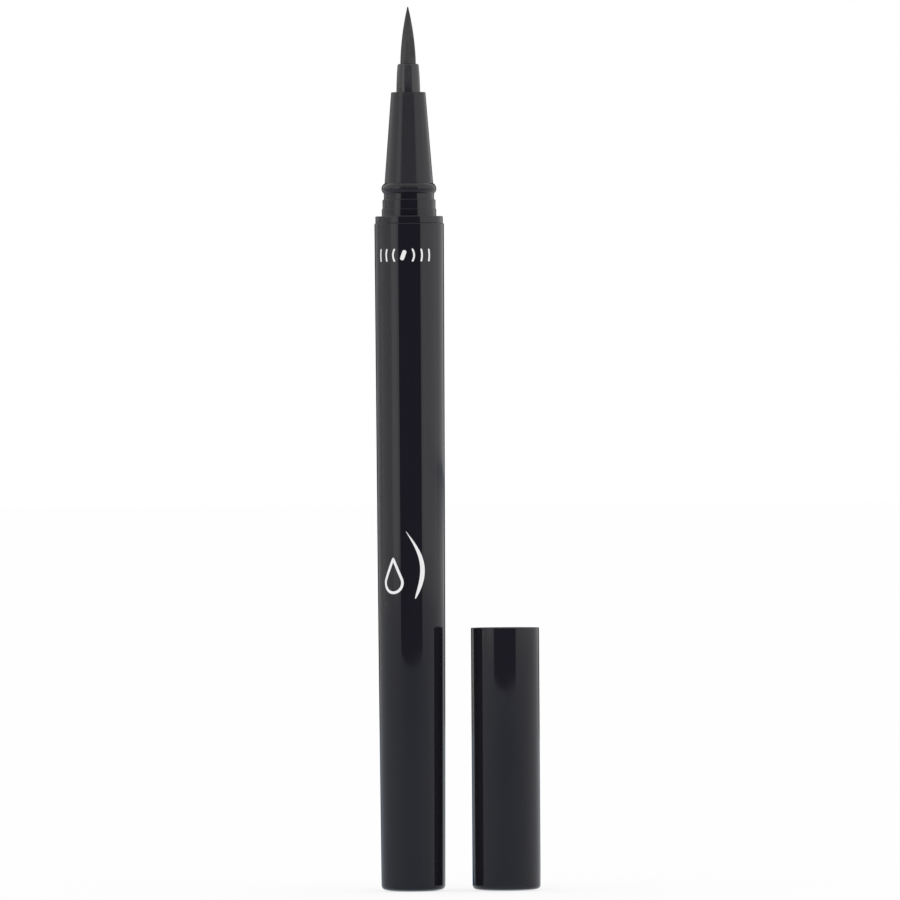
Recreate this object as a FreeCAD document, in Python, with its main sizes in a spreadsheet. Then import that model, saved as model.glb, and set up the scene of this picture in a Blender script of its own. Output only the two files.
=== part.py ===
"""Liquid eyeliner pen, tip up, with its cap taken off and standing mouth up beside it.

All lengths are in millimetres. The pen's axis is Z and the pen stands on the flat end
of its tail plug at z = 0. The cap stands on its closed end, further along +X.
"""
import FreeCAD, Part
import enum
import math
import os

import Sketcher

doc = FreeCAD.newDocument("EyelinerPen")

SIZES = {
    # Clearances, all measured on the radius or along the axis
    "fit_gap": 0.02,
    "run_gap": 0.1,
    "seat_gap": 0.05,
    "cut_overrun": 1.0,
    # Barrel: a long tapered tube that holds the ink
    "barrel_length": 97.8,
    "barrel_front_diameter": 10.2,
    "barrel_wall": 1.05,
    "waist_inset": 0.175,
    "tail_inset": 0.425,
    "tail_taper_length": 37.0,
    "tail_land_width": 0.4,
    "tail_rise": 0.15,
    "tail_edge_radius": 0.7,
    "end_wall": 5.0,
    "tank_ledge": 0.35,
    "plug_ledge": 0.7,
    "chamber_depth": 36.8,
    "edge_break": 0.1,
    # Tail plug: closes the filling hole and holds the resting ball
    "plug_head_height": 1.2,
    "plug_relief": 0.12,
    "plug_rib_count": 2,
    "plug_rib_height": 0.5,
    "plug_rim": 0.5,
    "plug_dish_depth": 0.9,
    # Mixing ball, loose in the ink
    "ball_diameter": 4.5,
    # Collector: a comb of thin fins that takes up ink when the pen warms
    "collector_flange": 1.6,
    "collector_plate": 1.2,
    "fin_count": 18,
    "fin_thickness": 0.45,
    "fin_rim_gap": 0.25,
    "stem_wall": 0.75,
    "ink_slit_width": 0.25,
    "ink_slit_depth": 0.45,
    "air_slot_width": 1.0,
    "guard_length": 2.8,
    "nose_wall": 1.3,
    # Relay core: the fibre rod from the tank to the nib
    "core_diameter": 1.8,
    "core_recess": 0.3,
    # Front section: the moulded nose that the cap snaps on
    "spigot_length": 9.0,
    "spigot_relief": 0.15,
    "spigot_rib_count": 3,
    "spigot_rib_height": 0.7,
    "collar_inset": 0.155,
    "collar_height": 1.05,
    "shoulder_width": 0.95,
    "seat_band_height": 1.08,
    "guide_band_step": 0.105,
    "guide_band_height": 1.36,
    "snap_groove_depth": 0.205,
    "snap_groove_height": 0.9,
    "snap_bead_rise": 0.34,
    "snap_bead_height": 1.5,
    "cone_base_step": 0.12,
    "cone_tip_wall": 0.695,
    "nose_bore_gap": 0.08,
    # Nib holder: the tube that carries the nib out of the cone
    "holder_base_wall": 0.585,
    "holder_tip_wall": 0.405,
    "holder_reach": 4.15,
    "holder_side_bow": 0.035,
    "holder_edge_radius": 0.2,
    "holder_grip_length": 7.0,
    "holder_flange": 1.5,
    "vent_count": 4,
    "vent_width": 0.5,
    "vent_depth": 0.22,
    # Brush nib: a bonded bundle of fibres ground to a long point
    "nib_diameter": 2.28,
    "nib_reach": 8.4,
    "nib_side_bow": 0.2,
    "nib_tip_diameter": 0.16,
    "nib_seat": 3.05,
    # Cap shell
    "cap_gap": 3.55,
    "cap_wall": 0.925,
    "cap_length": 38.5,
    "cap_bevel_width": 1.0,
    "cap_end_wall": 1.5,
    "mouth_lead": 0.25,
    "mouth_depth": 6.0,
    "ridge_grip": 0.11,
    "ridge_height": 0.8,
    "chamber_step": 0.25,
    "spring_boss_height": 1.2,
    # Inner cap: the sprung cup that seals the nib
    "inner_cap_floor": 1.0,
    "inner_cap_flange": 1.2,
    "inner_cap_flare": 0.25,
    "inner_cap_flare_length": 2.0,
    "tab_slot_count": 4,
    "tab_slot_width": 1.0,
    "press_travel": 1.2,
    "tip_room": 0.65,
    "seal_share": 0.52,
    # Spring behind the inner cap
    "spring_length": 5.71,
    "spring_side_room": 1.275,
    "spring_wire": 0.4,
    "spring_turns": 5,
}

ARC_STEPS_PER_TURN = 4
SPRING_SAMPLES_PER_TURN = 48


class Length:
    """A size: its value in millimetres and the sheet expression that gives it."""

    def __init__(self, value, text):
        self.value = value
        self.text = text

    def join(self, other, mark, value):
        return Length(value, f"({self.text} {mark} {as_length(other).text})")

    def __add__(self, other):
        return self.join(other, "+", self.value + as_length(other).value)

    def __sub__(self, other):
        return self.join(other, "-", self.value - as_length(other).value)

    def __mul__(self, other):
        return self.join(other, "*", self.value * as_length(other).value)

    def __truediv__(self, other):
        return self.join(other, "/", self.value / as_length(other).value)

    def __neg__(self):
        return Length(-self.value, f"(-{self.text})")

    def root(self):
        return Length(math.sqrt(self.value), f"sqrt({self.text})")


def as_length(number):
    """A plain number taken as a length, or a length as it is."""
    if isinstance(number, Length):
        return number
    return Length(float(number), str(number))


ZERO = as_length(0)


class SheetSizes:
    """The driving sizes, kept in the document's sheet and read back by name."""

    def __init__(self, sizes):
        self.sheet = doc.addObject("Spreadsheet::Sheet", "Sizes")
        for row, (alias, number) in enumerate(sizes.items(), start=1):
            self.sheet.set(f"A{row}", alias)
            self.sheet.set(f"B{row}", str(number))
            self.sheet.setAlias(f"B{row}", alias)
        doc.recompute()

    def __getattr__(self, alias):
        return Length(float(self.sheet.get(alias)), f"Sizes.{alias}")


size = SheetSizes(SIZES)


def bow_radius(chord, rise):
    """Radius of the arc that stands a rise above the middle of a chord."""
    return (chord * chord / 4 + rise * rise) / (rise * 2)


def distance(first, second):
    """Length of the straight line between two corners of an outline."""
    along_x = second[0] - first[0]
    along_y = second[1] - first[1]
    return (along_x * along_x + along_y * along_y).root()


class RunPoint(enum.IntEnum):
    """Numbers that a sketch gives to the points of a run, in its own order."""

    START = enum.auto()
    END = enum.auto()
    CENTRE = enum.auto()


# Numbers that a sketch gives to its own axes
ACROSS_AXIS_INDEX = -1
UP_AXIS_INDEX = -2


class Outline:
    """A closed outline of straight runs and arcs, each corner tied to the sheet."""

    LEFT = 1
    RIGHT = -1

    def __init__(self, x, y):
        self.corners = [(as_length(x), as_length(y))]
        self.arcs = {}

    def line(self, x, y):
        """Run straight to a corner."""
        self.corners.append((as_length(x), as_length(y)))
        return self

    def arc(self, x, y, radius, side):
        """Run round to a corner, with the arc's centre on the given side of the way."""
        self.arcs[len(self.corners) - 1] = (radius, side)
        return self.line(x, y)

    def bow(self, x, y, rise, side):
        """Run round to a corner on an arc that bows out by a rise."""
        end = (as_length(x), as_length(y))
        return self.arc(x, y, bow_radius(distance(self.corners[-1], end), rise), side)

    def point(self, index):
        x, y = self.corners[index % len(self.corners)]
        return FreeCAD.Vector(x.value, y.value, 0)

    def edge(self, index):
        """The run that starts at a corner, as a sketch line or a counter-clockwise arc."""
        first, last = self.point(index), self.point(index + 1)
        if index not in self.arcs:
            return Part.LineSegment(first, last)
        radius, side = self.arcs[index]
        chord = last - first
        reach = math.sqrt(max(radius.value ** 2 - (chord.Length / 2) ** 2, 0))
        left = FreeCAD.Vector(-chord.y, chord.x, 0).normalize()
        centre = (first + last) / 2 + left * (reach * side)
        if side == self.RIGHT:
            first, last = last, first
        angles = [math.atan2(end.y - centre.y, end.x - centre.x) for end in (first, last)]
        circle = Part.Circle(centre, FreeCAD.Vector(0, 0, 1), radius.value)
        return Part.ArcOfCircle(circle, *angles)

    def ends(self, index):
        """Sketch numbers of a run's first and last point."""
        turned_round = index in self.arcs and self.arcs[index][1] == self.RIGHT
        if turned_round:
            return RunPoint.END, RunPoint.START
        return RunPoint.START, RunPoint.END

    def draw(self, sketch):
        """Draw the outline in a sketch and tie it to the sheet."""
        count = len(self.corners)
        for index in range(count):
            sketch.addGeometry(self.edge(index), False)
        for index in range(count):
            before = (index - 1) % count
            start = self.ends(index)[0]
            sketch.addConstraint(
                Sketcher.Constraint("Coincident", before, self.ends(before)[1], index, start))
        for index, (x, y) in enumerate(self.corners):
            start = self.ends(index)[0]
            self.tie(sketch, "DistanceX", index, start, x, UP_AXIS_INDEX)
            self.tie(sketch, "DistanceY", index, start, y, ACROSS_AXIS_INDEX)
        for index, (radius, _) in self.arcs.items():
            bind(sketch, Sketcher.Constraint("Radius", index, radius.value), radius)

    @staticmethod
    def tie(sketch, kind, index, start, length, axis):
        """Hold one coordinate of a corner, on the sketch's own axis where it is zero."""
        if length.value == 0:
            sketch.addConstraint(Sketcher.Constraint("PointOnObject", index, start, axis))
        else:
            bind(sketch, Sketcher.Constraint(kind, index, start, length.value), length)


def bind(sketch, constraint, length):
    """Add a constraint that follows a sheet expression."""
    number = sketch.addConstraint(constraint)
    sketch.setExpression(f"Constraints[{number}]", length.text)


def new_body(label):
    """An empty body for one sub-part."""
    body = doc.addObject("PartDesign::Body", label)
    body.Label = label
    return body


def origin_feature(body, role):
    """One of a body's own planes or axes."""
    return next(item for item in body.Origin.OriginFeatures if item.Role == role)


def new_sketch(body, name, role, height=ZERO):
    """A sketch on one of a body's planes, raised along the plane's normal."""
    sketch = body.newObject("Sketcher::SketchObject", f"{body.Name}_{name}")
    sketch.AttachmentSupport = (origin_feature(body, role), [""])
    sketch.MapMode = "FlatFace"
    if height.value != 0:
        sketch.setExpression("AttachmentOffset.Base.z", height.text)
    return sketch


def turn(body, name, outline):
    """Turn an outline of radius and height about the body's Z axis."""
    sketch = new_sketch(body, name, "XZ_Plane")
    outline.draw(sketch)
    feature = body.newObject("PartDesign::Revolution", f"{body.Name}_{name}_turned")
    feature.Profile = sketch
    feature.ReferenceAxis = (sketch, ["V_Axis"])
    feature.Angle = 360
    doc.recompute()
    return feature


def rectangle(x_from, x_to, width):
    """A rectangle that lies along X, centred on the X axis."""
    half = width / 2
    return Outline(x_from, -half).line(x_to, -half).line(x_to, half).line(x_from, half)


def pad_ring(body, name, inner, outer, bottom, height):
    """A flat ring on the body's axis."""
    sketch = new_sketch(body, name, "XY_Plane", bottom)
    for index, radius in enumerate((inner, outer)):
        circle = Part.Circle(FreeCAD.Vector(), FreeCAD.Vector(0, 0, 1), radius.value)
        sketch.addGeometry(circle, False)
        sketch.addConstraint(Sketcher.Constraint(
            "Coincident", index, RunPoint.CENTRE, ACROSS_AXIS_INDEX, RunPoint.START))
        bind(sketch, Sketcher.Constraint("Radius", index, radius.value), radius)
    feature = body.newObject("PartDesign::Pad", f"{body.Name}_{name}_pad")
    feature.Profile = sketch
    feature.setExpression("Length", height.text)
    doc.recompute()
    return feature


def pocket_up(body, name, outline, bottom, height):
    """Cut an outline upwards from a height, and make sure that it cuts."""
    volume_before = body.Shape.Volume
    sketch = new_sketch(body, name, "XY_Plane", bottom)
    outline.draw(sketch)
    feature = body.newObject("PartDesign::Pocket", f"{body.Name}_{name}_cut")
    feature.Profile = sketch
    feature.Reversed = True
    feature.setExpression("Length", height.text)
    doc.recompute()
    if not body.Shape.Volume < volume_before:
        raise RuntimeError(f"{name} cuts nothing from {body.Label}")
    return feature


def repeat_up(body, name, feature, count, length):
    """Repeat a feature along the body's Z axis over a length."""
    pattern = body.newObject("PartDesign::LinearPattern", f"{body.Name}_{name}_row")
    pattern.Originals = [feature]
    pattern.Direction = (origin_feature(body, "Z_Axis"), [""])
    pattern.Mode = "Extent"
    pattern.setExpression("Length", length.text)
    pattern.setExpression("Occurrences", count.text)
    body.Tip = pattern
    doc.recompute()


def repeat_round(body, name, feature, count):
    """Repeat a feature round the body's Z axis."""
    pattern = body.newObject("PartDesign::PolarPattern", f"{body.Name}_{name}_ring")
    pattern.Originals = [feature]
    pattern.Axis = (origin_feature(body, "Z_Axis"), [""])
    pattern.Angle = 360
    pattern.setExpression("Occurrences", count.text)
    body.Tip = pattern
    doc.recompute()


def add_ribs(outline, count, rib_height, rib_radius, low_radius, bottom, top):
    """Carry an outline upwards past evenly spaced ribs, from a lower radius."""
    pitch = (top - bottom) / (count + 1)
    for number in range(1, int(count.value) + 1):
        rib_bottom = bottom + pitch * number - rib_height / 2
        rib_top = rib_bottom + rib_height
        outline.line(low_radius, rib_bottom)
        outline.line(rib_radius, rib_bottom)
        outline.line(rib_radius, rib_top)
        outline.line(low_radius, rib_top)


# Heights in the cap above its closed end, from the spring up to the nib's tip when it is on
inner_bottom = size.cap_end_wall + size.seat_gap + size.spring_length + size.seat_gap
inner_floor = inner_bottom + size.inner_cap_floor
inner_flange_bottom = inner_floor + size.inner_cap_floor
chamber_top = inner_flange_bottom + size.inner_cap_flange + size.seat_gap
guide_top = size.cap_length - size.mouth_depth
front_reach = size.cap_length - (inner_floor - size.press_travel + size.tip_room)

# Heights along the pen: the cone is as long as the cap leaves room for
tank_top = size.barrel_length - size.chamber_depth
guard_end = tank_top - size.guard_length
spigot_end = size.barrel_length - size.spigot_length
shoulder = size.barrel_length + size.collar_height
seat_band_top = shoulder + size.seat_band_height
guide_band_top = seat_band_top + size.guide_band_height
snap_groove_top = guide_band_top + size.snap_groove_height
cone_bottom = snap_groove_top + size.snap_bead_height
nib_tip = shoulder + front_reach
holder_top = nib_tip - size.nib_reach
cone_top = holder_top - size.holder_reach
cone_length = cone_top - cone_bottom
holder_seat = cone_top - size.holder_grip_length
holder_bottom = holder_seat - size.holder_flange
nib_bottom = holder_bottom + size.nib_seat

# Radii of the barrel and of what it holds
barrel_radius = size.barrel_front_diameter / 2
chamber_radius = barrel_radius - size.barrel_wall
tank_radius = chamber_radius - size.tank_ledge
plug_hole_radius = tank_radius - size.plug_ledge
plug_low_radius = plug_hole_radius - size.plug_relief
plug_dish_radius = plug_low_radius - size.plug_rim
core_radius = size.core_diameter / 2
core_bore_radius = core_radius + size.seat_gap
nose_radius = core_bore_radius + size.nose_wall
nose_bore_radius = nose_radius + size.run_gap

# Radii of the neck, the cone and the nib
collar_radius = barrel_radius - size.collar_inset
seat_band_radius = collar_radius - size.shoulder_width
guide_band_radius = seat_band_radius - size.guide_band_step
snap_groove_radius = guide_band_radius - size.snap_groove_depth
snap_bead_radius = snap_groove_radius + size.snap_bead_rise
nib_radius = size.nib_diameter / 2
nib_bore_radius = nib_radius + size.fit_gap
holder_radius = nib_bore_radius + size.holder_base_wall
holder_bore_radius = holder_radius + size.nose_bore_gap
cone_base_radius = snap_groove_radius - size.cone_base_step
cone_tip_radius = holder_bore_radius + size.cone_tip_wall

# Radii in the cap
mouth_radius = snap_bead_radius + size.seat_gap
cap_radius = mouth_radius + size.cap_wall
ridge_radius = snap_groove_radius + size.ridge_grip
guide_radius = mouth_radius - size.chamber_step
spring_chamber_radius = guide_radius + size.chamber_step
coil_radius = spring_chamber_radius - size.spring_side_room - size.spring_wire / 2
cap_spacing = barrel_radius + size.cap_gap + cap_radius

# The edge of the inner cap's bore seats on the cone, which then presses it down
seal_radius = cone_base_radius + (cone_tip_radius - cone_base_radius) * size.seal_share
seal_depth = cone_bottom - shoulder + cone_length * size.seal_share
flare_bottom = size.cap_length - seal_depth + size.press_travel
inner_mouth = flare_bottom + size.inner_cap_flare_length


def barrel():
    """Tapered tube with a filling hole in its rounded tail and a wider bore in front."""
    tail_radius = barrel_radius - size.tail_inset
    tail_side = size.tail_rise + size.tail_edge_radius
    rim = size.barrel_length - size.edge_break
    outline = Outline(plug_hole_radius, ZERO)
    outline.line(plug_hole_radius + size.tail_land_width, ZERO)
    outline.line(tail_radius - size.tail_edge_radius, size.tail_rise)
    outline.arc(tail_radius, tail_side, size.tail_edge_radius, Outline.LEFT)
    outline.line(barrel_radius - size.waist_inset, size.tail_taper_length)
    outline.line(barrel_radius, rim)
    outline.arc(barrel_radius - size.edge_break, size.barrel_length, size.edge_break, Outline.LEFT)
    outline.line(chamber_radius, size.barrel_length)
    outline.line(chamber_radius, tank_top)
    outline.line(tank_radius, tank_top)
    outline.line(tank_radius, size.end_wall)
    outline.line(plug_hole_radius, size.end_wall)
    body = new_body("barrel")
    turn(body, "wall", outline)
    return body


def tail_plug():
    """Ribbed plug, flush with the tail, with a shallow dish that centres the ball."""
    rib_radius = plug_hole_radius - size.fit_gap
    outline = Outline(ZERO, ZERO).line(rib_radius, ZERO).line(rib_radius, size.plug_head_height)
    outline.line(plug_low_radius, size.plug_head_height)
    add_ribs(outline, size.plug_rib_count, size.plug_rib_height, rib_radius, plug_low_radius,
             size.plug_head_height, size.end_wall)
    outline.line(plug_low_radius, size.end_wall)
    outline.line(plug_dish_radius, size.end_wall)
    outline.line(ZERO, size.end_wall - size.plug_dish_depth)
    body = new_body("tail_plug")
    turn(body, "form", outline)
    return body


def mixing_ball():
    """Steel ball that rests in the plug's dish and stirs the ink when shaken."""
    ball = doc.addObject("Part::Sphere", "mixing_ball")
    ball.Label = "mixing_ball"
    radius = size.ball_diameter / 2
    dish_slant = distance((plug_dish_radius, ZERO), (ZERO, size.plug_dish_depth))
    centre = (size.end_wall - size.plug_dish_depth
              + (radius + size.seat_gap) * dish_slant / plug_dish_radius)
    ball.setExpression("Radius", radius.text)
    ball.setExpression("Placement.Base.z", centre.text)
    return ball


def collector():
    """Finned comb between the tank and the nib, with an ink slit and an air slot."""
    stem_radius = core_bore_radius + size.stem_wall
    disc_radius = chamber_radius - size.fit_gap
    fin_radius = chamber_radius - size.fin_rim_gap
    flange_top = tank_top + size.collector_flange
    plate_bottom = spigot_end - size.collector_plate
    outline = Outline(core_bore_radius, guard_end).line(stem_radius, guard_end)
    outline.line(stem_radius, tank_top).line(disc_radius, tank_top)
    outline.line(disc_radius, flange_top).line(stem_radius, flange_top)
    outline.line(stem_radius, plate_bottom).line(disc_radius, plate_bottom)
    outline.line(disc_radius, spigot_end).line(nose_radius, spigot_end)
    outline.line(nose_radius, holder_bottom).line(core_bore_radius, holder_bottom)
    body = new_body("collector")
    turn(body, "stem", outline)

    comb_length = plate_bottom - flange_top
    pitch = (comb_length - size.fin_thickness) / (size.fin_count + 1)
    fin = pad_ring(body, "fin", core_bore_radius, fin_radius, flange_top + pitch, size.fin_thickness)
    repeat_up(body, "fin", fin, size.fin_count, pitch * (size.fin_count - 1))

    slit_floor = stem_radius - size.ink_slit_depth
    reach = chamber_radius + size.cut_overrun
    slit = rectangle(slit_floor, reach, size.ink_slit_width)
    pocket_up(body, "ink_slit", slit, tank_top - size.cut_overrun,
              size.collector_flange + comb_length + size.cut_overrun)
    slot = rectangle(-reach, -stem_radius, size.air_slot_width)
    pocket_up(body, "air_slot", slot, flange_top, comb_length + size.collector_plate + size.cut_overrun)
    return body


def relay_core():
    """Fibre rod that carries the ink from the tank through the collector to the nib."""
    core = doc.addObject("Part::Cylinder", "relay_core")
    core.Label = "relay_core"
    bottom = guard_end + size.core_recess
    core.setExpression("Radius", core_radius.text)
    core.setExpression("Height", (nib_bottom - size.seat_gap - bottom).text)
    core.setExpression("Placement.Base.z", bottom.text)
    return core


def front_section():
    """Nose of the pen: ribbed spigot, collar, neck with a snap bead, and a long cone."""
    rib_radius = chamber_radius - size.fit_gap
    low_radius = chamber_radius - size.spigot_relief
    bead_rise = snap_bead_radius - (snap_groove_radius + cone_base_radius) / 2
    outline = Outline(nose_bore_radius, spigot_end).line(low_radius, spigot_end)
    add_ribs(outline, size.spigot_rib_count, size.spigot_rib_height, rib_radius, low_radius,
             spigot_end, size.barrel_length)
    outline.line(low_radius, size.barrel_length).line(collar_radius, size.barrel_length)
    outline.line(collar_radius, shoulder - size.edge_break)
    outline.arc(collar_radius - size.edge_break, shoulder, size.edge_break, Outline.LEFT)
    for radius, bottom, top in (
        (seat_band_radius, shoulder, seat_band_top),
        (guide_band_radius, seat_band_top, guide_band_top),
        (snap_groove_radius, guide_band_top, snap_groove_top),
    ):
        outline.line(radius, bottom).line(radius, top)
    outline.bow(cone_base_radius, cone_bottom, bead_rise, Outline.LEFT)
    outline.line(cone_tip_radius, cone_top - size.edge_break)
    outline.arc(cone_tip_radius - size.edge_break, cone_top, size.edge_break, Outline.LEFT)
    outline.line(holder_bore_radius, cone_top).line(holder_bore_radius, holder_seat)
    outline.line(nose_bore_radius, holder_seat)
    body = new_body("front_section")
    turn(body, "wall", outline)
    return body


def nib_holder():
    """Flanged tube that grips the nib, with air vents along the part inside the cone."""
    tip_radius = nib_bore_radius + size.holder_tip_wall
    flange_radius = nose_bore_radius - size.fit_gap
    edge = size.holder_edge_radius
    outline = Outline(core_bore_radius, holder_bottom).line(flange_radius, holder_bottom)
    outline.line(flange_radius, holder_seat).line(holder_radius, holder_seat)
    outline.line(holder_radius, cone_top)
    outline.bow(tip_radius, holder_top - edge, size.holder_side_bow, Outline.LEFT)
    outline.arc(tip_radius - edge, holder_top, edge, Outline.LEFT)
    outline.line(nib_bore_radius, holder_top).line(nib_bore_radius, nib_bottom)
    outline.line(core_bore_radius, nib_bottom)
    body = new_body("nib_holder")
    turn(body, "tube", outline)

    vent = rectangle(holder_radius - size.vent_depth, flange_radius + size.cut_overrun, size.vent_width)
    vent_height = size.holder_flange + size.holder_grip_length - size.holder_edge_radius
    groove = pocket_up(body, "vent", vent, holder_bottom, vent_height)
    repeat_round(body, "vent", groove, size.vent_count)
    return body


def brush_nib():
    """Shank in the holder and a bowed point that ends in a small rounded tip."""
    tip_radius = size.nib_tip_diameter / 2
    tip_side = nib_tip - tip_radius
    outline = Outline(ZERO, nib_bottom).line(nib_radius, nib_bottom).line(nib_radius, holder_top)
    outline.bow(tip_radius, tip_side, size.nib_side_bow, Outline.LEFT)
    outline.arc(ZERO, nib_tip, tip_radius, Outline.LEFT)
    body = new_body("brush_nib")
    turn(body, "point", outline)
    return body


def stand_beside(piece):
    """Set a piece of the cap on the cap's own axis."""
    piece.setExpression("Placement.Base.x", cap_spacing.text)
    return piece


def cap_shell():
    """Outer cap, mouth up: snap ridge, guide bore, spring chamber and a spring boss."""
    cap_bevel_radius = cap_radius - size.tail_edge_radius
    boss_radius = coil_radius - size.spring_wire / 2 - size.run_gap
    boss_top = size.cap_end_wall + size.spring_boss_height
    ridge_rise = mouth_radius - ridge_radius
    ridge_half = size.ridge_height / 2
    ridge_middle = size.cap_length - (guide_band_top - shoulder + size.snap_groove_height / 2)
    outline = Outline(ZERO, ZERO).line(cap_bevel_radius - size.cap_bevel_width, ZERO)
    outline.line(cap_bevel_radius, size.tail_rise)
    outline.arc(cap_radius, size.tail_rise + size.tail_edge_radius, size.tail_edge_radius, Outline.LEFT)
    outline.line(cap_radius, size.cap_length - size.edge_break)
    outline.arc(cap_radius - size.edge_break, size.cap_length, size.edge_break, Outline.LEFT)
    outline.line(mouth_radius + size.mouth_lead, size.cap_length)
    outline.line(mouth_radius, size.cap_length - size.mouth_lead)
    outline.line(mouth_radius, ridge_middle + ridge_half)
    outline.bow(mouth_radius, ridge_middle - ridge_half, ridge_rise, Outline.LEFT)
    outline.line(mouth_radius, guide_top).line(guide_radius, guide_top - size.chamber_step)
    outline.line(guide_radius, chamber_top).line(spring_chamber_radius, chamber_top)
    outline.line(spring_chamber_radius, size.cap_end_wall).line(boss_radius, size.cap_end_wall)
    outline.line(boss_radius, boss_top).line(ZERO, boss_top)
    body = new_body("cap_shell")
    turn(body, "wall", outline)
    return stand_beside(body)


def inner_cap():
    """Sealing cup that slides in the cap, held by a flange cut into spring tabs."""
    outer_radius = guide_radius - size.run_gap
    flange_radius = spring_chamber_radius - size.run_gap
    flange_top = inner_flange_bottom + size.inner_cap_flange
    outline = Outline(ZERO, inner_bottom).line(outer_radius, inner_bottom)
    outline.line(outer_radius, inner_flange_bottom).line(flange_radius, inner_flange_bottom)
    outline.line(flange_radius, flange_top).line(outer_radius, flange_top)
    outline.line(outer_radius, inner_mouth)
    outline.line(seal_radius + size.inner_cap_flare, inner_mouth)
    outline.line(seal_radius, flare_bottom).line(seal_radius, inner_floor).line(ZERO, inner_floor)
    body = new_body("inner_cap")
    turn(body, "cup", outline)

    slot = rectangle(outer_radius, flange_radius + size.cut_overrun, size.tab_slot_width)
    gap = pocket_up(body, "tab_slot", slot, inner_flange_bottom, size.inner_cap_flange)
    repeat_round(body, "tab_slot", gap, size.tab_slot_count)
    return stand_beside(body)


def helix_point(angle, radius, bottom, pitch):
    """A point of the spring's centre line and the way that the wire runs there."""
    rise = pitch / (2 * math.pi)
    point = FreeCAD.Vector(radius * math.cos(angle), radius * math.sin(angle), bottom + rise * angle)
    way = FreeCAD.Vector(-radius * math.sin(angle), radius * math.cos(angle), rise)
    return point, way.normalize()


def arc_middle(start, way, end):
    """Middle of the arc that leaves a point in a given way and ends at another point."""
    chord = end - start
    across = chord - way * chord.dot(way)
    bend = 2 * across.Length / chord.Length ** 2
    inward = FreeCAD.Vector(across).normalize()
    half_turn = math.asin(min(across.Length / chord.Length, 1))
    return start + way * (math.sin(half_turn) / bend) + inward * ((1 - math.cos(half_turn)) / bend)


def biarc(start, start_way, end, end_way):
    """Two arcs that join two points and run in the given ways there."""
    chord = end - start
    spread = 2 * (1 - start_way.dot(end_way))
    lean = chord.dot(start_way + end_way)
    reach = (-lean + math.sqrt(lean ** 2 + spread * chord.dot(chord))) / spread
    joint = (start + end + (start_way - end_way) * reach) / 2
    first = Part.Arc(start, arc_middle(start, start_way, joint), joint)
    second = Part.Arc(joint, arc_middle(end, -end_way, joint), end)
    return [first.toShape(), second.toShape()]


def inner_cap_spring():
    """Open coil spring of round wire between the cap's end wall and the inner cap."""
    wire = size.spring_wire.value
    radius = coil_radius.value
    turns = int(size.spring_turns.value)
    bottom = size.cap_end_wall.value + size.seat_gap.value + wire / 2
    pitch = (size.spring_length.value - wire) / turns
    angles = [2 * math.pi * step / ARC_STEPS_PER_TURN for step in range(turns * ARC_STEPS_PER_TURN + 1)]
    stations = [helix_point(angle, radius, bottom, pitch) for angle in angles]
    first_point, first_way = stations[0]
    last_point, last_way = stations[-1]
    edges = [Part.LineSegment(first_point - first_way * wire, first_point).toShape()]
    for (start, start_way), (end, end_way) in zip(stations, stations[1:]):
        edges += biarc(start, start_way, end, end_way)
    edges.append(Part.LineSegment(last_point, last_point + last_way * wire).toShape())
    path = Part.Wire(edges)
    section = Part.Wire(Part.Circle(first_point - first_way * wire, first_way, wire / 2).toShape())
    shell = Part.BRepOffsetAPI.MakePipeShell(path)
    shell.add(section)
    shell.build()
    shell.makeSolid()
    spring = doc.addObject("Part::Feature", "inner_cap_spring")
    spring.Label = "inner_cap_spring"
    spring.Shape = shell.shape()
    print_spring_gap(radius, bottom, pitch, turns, wire)
    return stand_beside(spring)


def print_spring_gap(radius, bottom, pitch, turns, wire):
    """Measure and print the least gap between neighbouring turns of the spring."""
    count = turns * SPRING_SAMPLES_PER_TURN
    points = [
        helix_point(2 * math.pi * step / SPRING_SAMPLES_PER_TURN, radius, bottom, pitch)[0]
        for step in range(count + 1)
    ]
    half_turn = SPRING_SAMPLES_PER_TURN // 2
    least = min(
        (points[first] - points[second]).Length
        for first in range(count + 1)
        for second in range(first + half_turn, count + 1)
    )
    print(f"spring: least gap between turns {least - wire:.3f} mm")


def check(objects, pieces):
    """Stop if any object failed or any sub-part has no valid solid."""
    for item in objects:
        if "Invalid" in item.State or "Error" in item.State:
            raise RuntimeError(f"{item.Name} failed: {item.State}")
    for piece in pieces:
        if piece.Shape.isNull() or not piece.Shape.isValid() or not piece.Shape.Solids:
            raise RuntimeError(f"{piece.Label} has no valid solid")


def main():
    pieces = [
        barrel(),
        tail_plug(),
        mixing_ball(),
        collector(),
        relay_core(),
        front_section(),
        nib_holder(),
        brush_nib(),
        cap_shell(),
        inner_cap(),
        inner_cap_spring(),
    ]
    doc.recompute()
    check(doc.Objects, pieces)
    os.makedirs("parts", exist_ok=True)
    for piece in pieces:
        piece.Shape.exportStep(os.path.join("parts", f"{piece.Label}.step"))
        print(f"{piece.Label}: {piece.Shape.Volume:.2f} mm3")


main()
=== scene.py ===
"""Looks of a liquid eyeliner pen and its cap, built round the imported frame.

Lengths are metres in the frame's own axes: the pen stands on z = 0 with its nib up, and
the cap stands mouth up beside it, further along +X.
"""
import enum
import logging
import math
import random
from collections.abc import Callable, Iterable, Mapping, Sequence
from dataclasses import dataclass, field

import bmesh
import bpy
from mathutils import Matrix, Vector


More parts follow.
